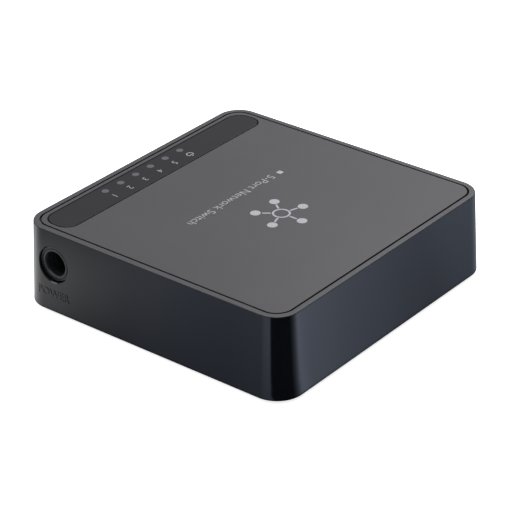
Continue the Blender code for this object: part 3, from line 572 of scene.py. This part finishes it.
def casing():
    """The wall's closed profile carried round the outline: recess floor, recess wall, rim, drafted side,
    bottom round, inner wall and roof. Each row of the profile is (outline level, inset, level), and a row a
    little past each round keeps the shading of the flat faces flat."""
    rows = [(CASE_TOP, RIM, RECESS_FLOOR)]
    for back, down in quarter(RIM_ROUND, 4)[::-1]:
        rows.append((CASE_TOP, RIM - back, CASE_TOP - down))
    rows.append((CASE_TOP, RIM - 2 * RIM_ROUND, CASE_TOP))
    rows.append((CASE_TOP, TOP_ROUND * 1.3, CASE_TOP))
    for back, down in quarter(TOP_ROUND, 9):
        rows.append((CASE_TOP - down, back, CASE_TOP - down))
    rows.append((CASE_TOP - 1.6 * TOP_ROUND, 0.0, CASE_TOP - 1.6 * TOP_ROUND))
    for share in np.linspace(0.06, 0.94, 8):
        level = CASE_TOP - share * CASE_HEIGHT
        rows.append((level, 0.0, level))
    for back, up in quarter(BOTTOM_ROUND, 6)[::-1]:
        rows.append((CASE_LOW + up, back, CASE_LOW + up))
    rows.append((CASE_LOW, BOTTOM_ROUND * 1.5, CASE_LOW))
    rows.append((CASE_LOW, WALL, CASE_LOW))
    rows.append((ROOF_LOW, WALL, ROOF_LOW))
    outlines = [case_ring(level, inset) for level, inset, _ in rows]
    shell = loft("casing_shell", stacked(outlines, [level for _, _, level in rows]))
    opening = block_outline(-PORT_GAP, PORT_OPENING_CORNER, corner_steps=5)
    levels = [-HALF_Y - PAST, -HALF_Y + PORT_OPENING_DEPTH]
    cut(shell, loft("cutter", along(stacked([opening, opening], levels), "Y")), jack_cutter())
    lamp_hole = [(LAMP_HOLE, ROOF_LOW - PAST), (LAMP_HOLE, RECESS_FLOOR + PAST)]
    for x in dot_places():
        cut(shell, turned("cutter", lamp_hole, (x, dot_y()), steps=32))
    shade(shell)
    show(shell, "casing", "casing_plastic", MATERIALS["casing"], "top_shell")


def block_outline(back, corner, corner_steps):
    """The socket block's front outline in (x, z), moved in by a distance."""
    half_x, half_z = (block_high.x - block_low.x) / 2, (block_high.z - block_low.z) / 2
    centre = ((block_low.x + block_high.x) / 2, (block_low.z + block_high.z) / 2)
    return ring(half_x - back, half_z - back, corner, corner_steps=corner_steps, side_steps=2, centre=centre)


def jack_cutter():
    """A body of revolution square to the drafted side, for a hole with a small bevel at its mouth."""
    mouth = JACK_HOLE + JACK_HOLE_BEVEL
    profile = [(JACK_HOLE, -JACK_HOLE_DEPTH), (JACK_HOLE, -JACK_HOLE_BEVEL), (mouth, 0.0), (mouth, PAST)]
    cutter = turned("cutter", profile, (0.0, 0.0), "X", steps=96)
    face = Vector((side_x(JACK_Z), JACK_Y, JACK_Z))
    cutter.data.transform(Matrix.Translation(face) @ Matrix.Rotation(-DRAFT_ANGLE, 4, "Y"))
    return cutter


def dot_places():
    """x of each dot, the power dot first."""
    start = DOT_ROW_X - DOT_PITCH * (DOT_COUNT - 1) / 2
    return start + DOT_PITCH * np.arange(DOT_COUNT)


def dot_y():
    """y of the row of dots."""
    return window_low.y + DOT_FROM_FRONT


def plate():
    """The plate's edge profile carried round its outline, then cut for the window."""
    half_x, half_y = (plate_high.x - plate_low.x) / 2, (plate_high.y - plate_low.y) / 2
    radius = CASE_CORNER - CORNER_TAPER - RIM - GROOVE
    rows = [(0.0, plate_low.z)]
    rows += [(back, plate_high.z - down) for back, down in quarter(PLATE_ROUND)[::-1]]
    rows.append((2 * PLATE_ROUND, plate_high.z))
    outlines = [ring(half_x - back, half_y - back, radius - back) for back, _ in rows]
    piece = loft("plate_top", stacked(outlines, [level for _, level in rows]))
    mouth = WINDOW_GAP + WINDOW_GAP_FLARE
    grow = [(WINDOW_GAP, plate_low.z - PAST), (WINDOW_GAP, plate_high.z - WINDOW_GAP_FLARE),
            (mouth, plate_high.z), (mouth, plate_high.z + PAST)]
    outlines = [window_ring(-size) for size, _ in grow]
    cut(piece, loft("cutter", stacked(outlines, [level for _, level in grow])))
    shade(piece)
    show(piece, "casing", "plate_plastic", MATERIALS["plate"], "top_plate")


def window_ring(back):
    """The window's outline, moved in by a distance. Its two rear corners are a little tighter."""
    half_x, half_y = (window_high.x - window_low.x) / 2, (window_high.y - window_low.y) / 2
    centre = ((window_high.x + window_low.x) / 2, (window_high.y + window_low.y) / 2)
    front, rear = WINDOW_FRONT_CORNER - back, WINDOW_REAR_CORNER - back
    return ring(half_x - back, half_y - back, front, rear, centre=centre)


def window():
    """The window's edge profile, a wall and a quarter round, carried round its outline."""
    rows = [(0.0, window_low.z)]
    rows += [(back, window_high.z - down) for back, down in quarter(WINDOW_ROUND)[::-1]]
    rows.append((2 * WINDOW_ROUND, window_high.z))
    outlines = [window_ring(back) for back, _ in rows]
    piece = loft("window_smoked", stacked(outlines, [level for _, level in rows]))
    shade(piece)
    show(piece, "casing", "window_plastic", MATERIALS["window"], "indicator_window")


# ---------------------------------------------------------------- print and lettering


def lettering(text, height, depth, spacing=1.0, weight=0.0, extrude=0.5, bevel=0.0):
    """Text as a closed mesh and its points, centred on the origin and scaled to the given height. Its
    thickness has a depth of its own, or is scaled with the letters where there is none."""
    curve = bpy.data.curves.new("lettering", "FONT")
    curve.body = text
    curve.extrude = extrude
    curve.bevel_depth = bevel
    curve.offset = weight
    curve.space_character = spacing
    source = new_object("lettering", curve)
    mesh = bpy.data.meshes.new_from_object(source.evaluated_get(bpy.context.evaluated_depsgraph_get()))
    bpy.data.objects.remove(source)
    places = np.empty(len(mesh.vertices) * 3)
    mesh.vertices.foreach_get("co", places)
    places = places.reshape(-1, 3)
    lowest, highest = places.min(axis=0), places.max(axis=0)
    scale = height / (highest[1] - lowest[1])
    places[:, :2] = (places[:, :2] - (lowest[:2] + highest[:2]) / 2) * scale
    places[:, 2] *= depth if depth else scale
    return mesh, places


def set_places(mesh, places):
    """Moves a mesh's points to new places, and closes it where points meet."""
    mesh.vertices.foreach_set("co", places.astype(np.float32).ravel())
    shape = bmesh.new()
    shape.from_mesh(mesh)
    bmesh.ops.remove_doubles(shape, verts=shape.verts, dist=1e-7)
    shape.to_mesh(mesh)
    shape.free()
    mesh.update()


def print_text(name, text, centre, height, level, slot, **style):
    """Lays lettering flat on a face at a level, raised by the thickness of the ink."""
    mesh, places = lettering(text, height, INK, **style)
    places += np.array([centre[0], centre[1], level + INK_LIFT + INK / 2])
    set_places(mesh, places)
    piece = shade(new_object(name, mesh))
    return show(piece, "casing", slot, MATERIALS["ink"])


def print_shape(name, rings, level, slot, material="ink"):
    """A flat printed shape: a loft of the ink's thickness."""
    base = level + INK_LIFT
    piece = loft(name, stacked([rings, rings], [base, base + INK]))
    return show(piece, "casing", slot, MATERIALS[material])


def print_band(name, outer, inner, level, slot):
    """A flat printed band between two outlines of equal count, closed round its section."""
    base = level + INK_LIFT
    rings = stacked([inner, outer, outer, inner], [base, base, base + INK, base + INK])
    piece = loft(name, rings, capped=False)
    return show(piece, "casing", slot, MATERIALS["ink"])


def window_print():
    """Six dots over the lamps, a digit by each of five, and a power sign by the sixth: an open ring from
    125 to 415 degrees with a stroke in its gap."""
    top = window_high.z
    for count, x in enumerate(dot_places()):
        print_shape(f"dot_{count}", disc(DOT_RADIUS, 40, (x, dot_y())), top, "light_guide", "lamp_ink")
    label_y = window_low.y + DIGIT_FROM_FRONT
    for digit, x in zip("54321", dot_places()[1:]):
        place = (x + DIGIT_OFFSET_X, label_y)
        print_text(f"digit_{digit}", digit, place, DIGIT_HEIGHT, top, "window_plastic", weight=-0.012)
    angle = np.radians(np.linspace(125, 415, 40))
    circle = np.column_stack([np.cos(angle), np.sin(angle)])
    centre = np.array([dot_places()[0] + POWER_SIGN_OFFSET_X, label_y])
    outline = np.concatenate([centre + POWER_SIGN_OUTER * circle, (centre + POWER_SIGN_INNER * circle)[::-1]])
    print_shape("power_ring", outline, top, "window_plastic")
    stroke = ring(*POWER_STROKE_HALF, 0.1 * MM, corner_steps=3, side_steps=1,
                  centre=(centre[0], centre[1] + POWER_STROKE_RISE))
    print_shape("power_stroke", stroke, top, "window_plastic")


def plate_print():
    """A square bullet and words, and a hub sign: a ring with an arm and a dot every fifth of a turn."""
    top, slot = plate_high.z, "plate_plastic"
    print_text("plate_words", WORDS, WORDS_AT, WORDS_HEIGHT, top, slot, weight=-0.01)
    bullet = ring(BULLET_HALF, BULLET_HALF, 0.05 * MM, corner_steps=2, side_steps=1, centre=BULLET_AT)
    print_shape("plate_bullet", bullet, top, slot)
    middle = np.array(ICON_AT)
    print_band("icon_hub", disc(ICON_HUB, 48, middle), disc(ICON_HUB - ICON_BAND, 48, middle), top, slot)
    near, far = ICON_HUB + SPOKE_FROM_HUB, ICON_REACH - SPOKE_FROM_NODE
    for arm in range(ICON_ARMS):
        turn = math.radians(90 + 360 / ICON_ARMS * arm)
        way = np.array([math.cos(turn), math.sin(turn)])
        side = SPOKE_HALF * np.array([-math.sin(turn), math.cos(turn)])
        start, end = middle + way * near, middle + way * far
        spoke = np.array([start - side, end - side, end + side, start + side])
        print_shape(f"icon_spoke_{arm}", spoke, top, slot)
        print_shape(f"icon_node_{arm}", disc(ICON_NODE, 32, middle + way * ICON_REACH), top, slot)


def side_surface(along_y, level):
    """x of the casing's +X side at (y, z): flat, then round the corner where y is past its centre."""
    share = (level - CASE_LOW) / CASE_HEIGHT
    radius = CASE_CORNER - CORNER_TAPER * share
    past = np.maximum(np.abs(along_y) - (HALF_Y - DRAFT * share - radius), 0.0)
    return HALF_X - DRAFT * share - radius + np.sqrt(np.maximum(radius**2 - past**2, 0.0))


def inlet_lettering():
    """Raised, bevelled letters under the inlet. Each point (u, v, w) goes to y = u, z = v and
    x = side(y, z) + w, so they follow the draft and the corner."""
    mesh, places = lettering("POWER", RAISED_HEIGHT, None, spacing=1.06, extrude=0.03, bevel=0.014)
    along_y = places[:, 0] + RAISED_Y
    level = places[:, 1] + CASE_LOW + RAISED_RISE
    out = side_surface(along_y, level) + places[:, 2]
    set_places(mesh, np.column_stack([out, along_y, level]))
    show(shade(new_object("inlet_lettering", mesh)), "casing", "casing_plastic", MATERIALS["casing"])


# ---------------------------------------------------------------- power inlet


def behind(face, profile):
    """A profile's (radius, depth) pairs in mm as (radius, x), where x is the face's less the depth."""
    return [(radius * MM, face - depth * MM) for radius, depth in profile]


def inlet():
    """The inlet's body, a square block with a round nose, and its pin. Nose, bore and pin are bodies of
    revolution: the nose has a lip and a shallow step in its face, and the bore widens at its mouth."""
    nose, axis = jack_high.x, (JACK_Y, JACK_Z)
    box_end = (nose - NOSE_LENGTH, jack_high.y, jack_high.z)
    body = block("inlet_body", jack_low, box_end, BODY_BEVEL)
    barrel = behind(nose, (NOSE_ROOT, *NOSE_LIP, *NOSE_STEP))
    pin_hole = [(PIN_HOLE, jack_low.x - PAST), (PIN_HOLE, nose - PAST)]
    channel_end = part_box("dc_jack_spring")[1].x + CHANNEL_PAST_SPRING
    channel = block("cutter", (jack_low.x - PAST, JACK_Y - CHANNEL_HALF, JACK_Z - CHANNEL_LOW),
                    (channel_end, JACK_Y + CHANNEL_HALF, JACK_Z - CHANNEL_HIGH))
    join(body, turned("addition", barrel, axis, "X", 96))
    cut(body, turned("cutter", behind(nose, BORE), axis, "X", 96),
        turned("cutter", pin_hole, axis, "X", 48), channel)
    shade(body)
    show(body, "casing", "jack_plastic", MATERIALS["jack"], "dc_jack_body")
    profile = behind(pin_low.x, PIN_ROOT) + behind(pin_high.x, PIN_TIP)
    pin = turned("inlet_pin", profile, axis, "X", 48)
    shade(pin)
    show(pin, "casing", "nickel", MATERIALS["nickel"], "dc_jack_pin")


# ---------------------------------------------------------------- network sockets


PORTS = [f"port_{count}_contacts" for count in range(1, 6)]


def port_x(node):
    """x of a socket's middle, from its contacts."""
    low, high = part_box(node)
    return (low.x + high.x) / 2


def socket_outline(x, grow):
    """Plug cavity with its two latch steps, moved out by a small distance."""
    low = CAVITY_TOP - CAVITY_HEIGHT - grow
    latch, step, wall = LATCH_HALF + grow, STEP_HALF + grow, CAVITY_HALF + grow
    right = [(latch, low - LATCH_DROP), (latch, low - STEP_DROP), (step, low - STEP_DROP), (step, low),
             (wall, low), (wall, CAVITY_TOP + grow)]
    outline = right + [(-u, v) for u, v in right[::-1]]
    return np.array(outline) + np.array([x, 0.0])


def wire_places(x):
    """x of a socket's eight wires, evenly spaced about its middle."""
    return x + (np.arange(WIRES) - (WIRES - 1) / 2) * WIRE_PITCH


def sockets():
    """The five-way block: a bevelled box, five stepped cavities with bevelled mouths, and slots for wires."""
    front, back = block_low.y, block_high.y
    outline = block_outline(0.0, 2 * BLOCK_BEVEL, corner_steps=4)
    inner = block_outline(BLOCK_BEVEL, BLOCK_BEVEL, corner_steps=4)
    levels = [front, front + BLOCK_BEVEL, back]
    body = loft("socket_block", along(stacked([inner, outline, outline], levels), "Y"))
    for node in PORTS:
        x = port_x(node)
        outlines = [socket_outline(x, grow) for grow in (MOUTH_BEVEL, MOUTH_BEVEL, 0.0, 0.0)]
        levels = [front - PAST, front, front + MOUTH_BEVEL, front + CAVITY_DEPTH]
        cut(body, loft("cutter", along(stacked(outlines, levels), "Y")))
        for middle in wire_places(x):
            low = (middle - SLOT_HALF, front + SLOT_FROM_END, CAVITY_TOP - 0.1 * MM)
            high = (middle + SLOT_HALF, front + CAVITY_DEPTH - SLOT_FROM_END, CAVITY_TOP + SLOT_HEIGHT)
            cut(body, block("cutter", low, high))
    shade(body)
    show(body, "casing", "port_plastic", MATERIALS["ports"], "port_housing")


def wires(name, path, x_places, radius, body, *replaced):
    """Round wires: a circle of the given radius carried along one (y, z) path, repeated across x. The circle
    stands square to the path, on its normal and on the X axis."""
    path = np.asarray(path)
    run = np.gradient(path, axis=0)
    run /= np.linalg.norm(run, axis=1, keepdims=True)
    normal = np.column_stack([-run[:, 1], run[:, 0]])
    angle = 2 * np.pi * np.arange(WIRE_SIDES) / WIRE_SIDES
    across = radius * np.cos(angle)[None, :]
    lift = radius * np.sin(angle)[None, :, None] * normal[:, None, :]
    wire = np.empty((len(path), len(angle), 3))
    wire[..., 0] = across
    wire[..., 1:] = path[:, None, :] + lift
    points, faces, count = [], [], wire.shape[0] * wire.shape[1]
    grid = quads(wire.shape[0], len(angle))
    for number, x in enumerate(x_places):
        points.append(wire.reshape(-1, 3) + np.array([x, 0.0, 0.0]))
        first = list(range(number * count, number * count + len(angle)))
        last = list(range((number + 1) * count - len(angle), (number + 1) * count))
        faces += (grid + number * count).tolist() + [first[::-1], last]
    mesh = bpy.data.meshes.new(name)
    mesh.from_pydata(np.concatenate(points).tolist(), [], faces)
    face_out(mesh)
    piece = new_object(name, mesh)
    shade(piece, 50)
    show(piece, body, "contact_gold", MATERIALS["gold"], *replaced)


def socket_springs():
    """In each socket eight wires run forward under the roof, turn round the mouth's edge and slope back down.
    The sloping part and the turn ride on the moving body, whose hinge is the middle of the turn."""
    joints = {joint["child"]: joint for joint in frame["joints"]}
    for count, node in enumerate(PORTS, start=1):
        body = f"port_{count}_springs"
        pivot = np.array(joints[body]["pos_m"][1:])
        x_places = wire_places(port_x(node))
        sweep = np.linspace(math.radians(80), math.radians(270) - WIRE_TILT, 14)
        bend = pivot + WIRE_TURN * np.column_stack([np.cos(sweep), np.sin(sweep)])
        slope = np.array([math.cos(WIRE_TILT), -math.sin(WIRE_TILT)])
        reach = np.linspace(WIRE_TURN, WIRE_REACH, 12)[:, None]
        path = np.concatenate([bend, bend[-1] + reach * slope])
        wires(f"spring_wires_{count}", path, x_places, WIRE_RADIUS, body, node)
        back = np.linspace(0.0, ROOT_LENGTH, 8)
        root = np.column_stack([pivot[0] + back, np.full_like(back, pivot[1] + WIRE_TURN)])
        wires(f"root_wires_{count}", root, x_places, ROOT_RADIUS, "casing")


# ---------------------------------------------------------------- the rest


def feet():
    """Each foot is a body of revolution: a disc whose lower edge rounds over in four steps."""
    rounding = ((0.9, 0.0), (0.45, 0.06), (0.15, 0.2), (0.0, 0.45))
    for count in range(1, 5):
        node = f"foot_{count}"
        low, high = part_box(node)
        radius = (high.x - low.x) / 2
        profile = [(radius - back * MM, low.z + up * MM) for back, up in rounding] + [(radius, high.z)]
        centre = ((low.x + high.x) / 2, (low.y + high.y) / 2)
        piece = turned(f"rubber_foot_{count}", profile, centre, steps=72)
        shade(piece, 50)
        show(piece, "casing", "foot_rubber", MATERIALS["rubber"], node)


CARRIED = {
    "base": ("base_plate",),
    "guide": ("light_pipe",),
    "screw": ("case_screw_1", "case_screw_2", "board_screw_1", "board_screw_2", "crystal"),
    "label": ("rating_label",),
    "board": ("main_board",),
    "lamp": ("led_power", "led_1", "led_2", "led_3", "led_4", "led_5"),
    "nickel": ("dc_jack_terminal", "dc_jack_spring"),
    "chip": ("switch_chip", "transformer_1", "transformer_2", "transformer_3", "transformer_4",
             "transformer_5", "config_memory", "regulator", "diode"),
    "pad": ("thermal_pad",),
    "aluminium": ("heat_sink", "capacitor_1", "capacitor_2", "capacitor_3"),
    "ferrite": ("inductor_1", "inductor_2"),
    "fuse": ("fuse",),
}


def carried_over():
    """The CAD nodes that stay as they are get a material each."""
    for material, nodes in CARRIED.items():
        for node in nodes:
            mesh = frame["nodes"][node].data
            mesh.materials.clear()
            mesh.materials.append(MATERIALS[material])


# ---------------------------------------------------------------- studio


CAMERA_AT = Vector((394.2, 320.0, 291.5)) * MM
CAMERA_AIM = Vector((5.32, 3.69, 12.33)) * MM
CAMERA_ROLL = math.radians(-0.86)
CAMERA_LENS = 158.95
SENSOR_WIDTH = 36.0


def camera():
    """A long lens that looks down on the corner between the +X and +Y sides, rolled a little."""
    data = bpy.data.cameras.new("camera")
    data.lens = CAMERA_LENS
    data.sensor_width = SENSOR_WIDTH
    data.clip_start = 0.01
    eye = new_object("camera", data)
    turn = (CAMERA_AIM - CAMERA_AT).to_track_quat("-Z", "Y") @ Quaternion((0, 0, 1), CAMERA_ROLL)
    eye.matrix_world = Matrix.Translation(CAMERA_AT) @ turn.to_matrix().to_4x4()
    bpy.context.scene.camera = eye


FLOOR_HALF = 6.0
GLOW_HALF = 300 * MM
GLOW_CELL = 1.5 * MM
GLOW_TINT = (0.88, 1.0, 1.28)
GLOW_DROP = 0.5 * MM
# Brightness seen along the +X side by y, and along the +Y side by x, both in mm. Each side's reflections
# slant sideways by a share of the distance out, and brighten a little for each mm past a middle distance.
GLOW_PLUS_X = (
    (-82, 0.85), (-62, 0.25), (-25, 0.19), (-16, 0.26), (-8, 0.3), (0, 0.37), (8, 0.37), (16, 0.362),
    (24, 0.35), (32, 0.37), (40, 0.40))
GLOW_PLUS_Y = (
    (-60, 0.54), (-33, 0.50), (-20, 0.42), (-8, 0.47), (0, 0.54), (8, 0.59), (16, 0.65), (26, 0.77),
    (33, 0.79), (40, 0.86))
SLANT_PLUS_X, SLANT_PLUS_Y = 0.765, 1.14
RISE_PLUS_X, RISE_PLUS_Y = 0.012, 0.005
MIDDLE_PLUS_X, MIDDLE_PLUS_Y = 20, 16
# Share of it left at each bearing round the corner where both sides meet, in degrees from +X towards +Y
SHADE_CORNER = (38 * MM, 38 * MM)
SHADE = (
    (-180, 0.8), (-120, 0.6), (-100, 0.35), (-95, 0.55), (-89, 1.0), (-26, 1.0), (-16, 1.5), (0, 1.75),
    (9, 1.8), (13, 0.01), (92, 0.01), (101, 0.2), (110, 0.45), (120, 0.9), (130, 1.35), (137, 1.2),
    (141, 1.0), (180, 1.0))
SIDES_MEET = 50
LEFT_CARD = (48 * MM, -60 * MM)
LEFT_CARD_RADIUS = 30 * MM
LEFT_CARD_LIGHT = 1.18
FOOT_SHADOW = (0.4 * MM, 2.4 * MM)


def floor():
    """Opal acrylic, lit from below, so that it stays white under the casing's edge."""
    material, tree, shader, place = blank(
        "floor_acrylic_opal", "F4F4F4", 0.9, Emission_Strength=0.8, Emission_Color=(1.0, 1.0, 1.0, 1.0))
    mottle(tree, shader, place, 400 * MM, "F2F2F2", "F6F6F6")
    corners = [(x * FLOOR_HALF, y * FLOOR_HALF, 0.0) for x, y in ((-1, -1), (1, -1), (1, 1), (-1, 1))]
    sheet = new_object("floor", bpy.data.meshes.new("floor"))
    sheet.data.from_pydata(corners, [], [(0, 1, 2, 3)])
    sheet.data.materials.append(material)
    sheet.visible_glossy = False


def glow_light(x, y):
    """The card's colour at (x, y). Each side's row of brightnesses runs out along the way in which that side
    reflects, times the shade at the bearing. A soft round patch, exp(-(distance / radius)^2), adds to it at
    the left, and all of it goes dark close to the casing's outline."""
    bearing = np.degrees(np.arctan2(y - SHADE_CORNER[1], x - SHADE_CORNER[0]))
    shade_here = np.interp(bearing, *zip(*SHADE))
    out_x, out_y = x - HALF_X, y - HALF_Y
    far_x = np.clip(out_x / MM - MIDDLE_PLUS_X, -MIDDLE_PLUS_X, MIDDLE_PLUS_X)
    far_y = np.clip(out_y / MM - MIDDLE_PLUS_Y, -MIDDLE_PLUS_Y, MIDDLE_PLUS_Y)
    plus_x = np.interp((y + SLANT_PLUS_X * out_x) / MM, *zip(*GLOW_PLUS_X)) * (1 + RISE_PLUS_X * far_x)
    plus_y = np.interp((x + SLANT_PLUS_Y * out_y) / MM, *zip(*GLOW_PLUS_Y)) + RISE_PLUS_Y * far_y
    base = (np.where(bearing < SIDES_MEET, plus_x, plus_y) * shade_here)[..., None]
    distance = np.hypot(x - LEFT_CARD[0], y - LEFT_CARD[1])
    patch = (shade_here * np.exp(-((distance / LEFT_CARD_RADIUS) ** 2)))[..., None]
    past_x = np.clip(np.abs(x) - HALF_X + CASE_CORNER, 0, None)
    past_y = np.clip(np.abs(y) - HALF_Y + CASE_CORNER, 0, None)
    open_share = np.interp(np.hypot(past_x, past_y) - CASE_CORNER, FOOT_SHADOW, (0.0, 1.0))[..., None]
    return (base * (np.array(GLOW_TINT) * (1 - patch) + patch) + LEFT_CARD_LIGHT * patch) * open_share


def glow():
    """What the glossy sides mirror in place of the floor: a card whose colour is set point by point."""
    count = int(2 * GLOW_HALF / GLOW_CELL) + 1
    line = np.linspace(-GLOW_HALF, GLOW_HALF, count)
    x, y = np.meshgrid(line, line)
    light = glow_light(x, y)
    mesh = bpy.data.meshes.new("glow_card")
    points = np.stack([x, y, np.full_like(x, -GLOW_DROP)], axis=-1)
    row, column = np.mgrid[0 : count - 1, 0 : count - 1]
    corner = row * count + column
    faces = np.stack([corner, corner + 1, corner + count + 1, corner + count], axis=-1)
    mesh.from_pydata(points.reshape(-1, 3).tolist(), [], faces.reshape(-1, 4).tolist())
    layer = mesh.color_attributes.new("light", "FLOAT_COLOR", "POINT")
    flat = np.concatenate([light, np.ones_like(light[..., :1])], axis=-1)
    layer.data.foreach_set("color", flat.astype(np.float32).ravel())
    material = bpy.data.materials.new("glow_card")
    material.use_nodes = True
    material.cycles.emission_sampling = "NONE"
    tree = material.node_tree
    tree.nodes.clear()
    seen = add(tree, "ShaderNodeAttribute", attribute_name="light").outputs["Color"]
    glowing = add(tree, "ShaderNodeEmission", {"Color": seen, "Strength": 1.0})
    output = add(tree, "ShaderNodeOutputMaterial")
    tree.links.new(glowing.outputs["Emission"], output.inputs["Surface"])
    mesh.materials.append(material)
    card = new_object("glow_card", mesh)
    card.visible_camera = False
    card.visible_diffuse = False
    card.visible_shadow = False
    card.visible_transmission = False


def softbox(name, bearing, rise, distance, size, radiance):
    """An area light that faces the object, placed by its bearing from +X, its elevation and its distance."""
    data = bpy.data.lights.new(name, "AREA")
    data.shape = "RECTANGLE"
    data.size, data.size_y = size
    data.energy = radiance * math.pi * size[0] * size[1]
    lamp = new_object(name, data)
    turn, lift = math.radians(bearing), math.radians(rise)
    flat = distance * math.cos(lift)
    at = Vector((flat * math.cos(turn), flat * math.sin(turn), distance * math.sin(lift)))
    lamp.location = at
    lamp.rotation_euler = (-at).to_track_quat("-Z", "Y").to_euler()


def room():
    """An even grey room."""
    world = bpy.data.worlds.new("room")
    bpy.context.scene.world = world
    world.use_nodes = True
    background = world.node_tree.nodes["Background"]
    background.inputs["Color"].default_value = colour("F6F6FA")
    background.inputs["Strength"].default_value = 0.42


def studio():
    """A wide soft light overhead, one behind at the right and one in front at the left, in an even room."""
    camera()
    floor()
    glow()
    room()
    softbox("overhead", bearing=0, rise=89.9, distance=1.2, size=(1.0, 1.0), radiance=3.7)
    softbox("behind_right", bearing=195, rise=42, distance=0.6, size=(0.34, 0.26), radiance=3.2)
    softbox("front_left", bearing=-60, rise=38, distance=0.8, size=(0.5, 0.3), radiance=2.7)
    bpy.context.scene.view_settings.view_transform = "Standard"


casing()
plate()
window()
window_print()
plate_print()
inlet_lettering()
inlet()
sockets()
socket_springs()
feet()
carried_over()
studio()
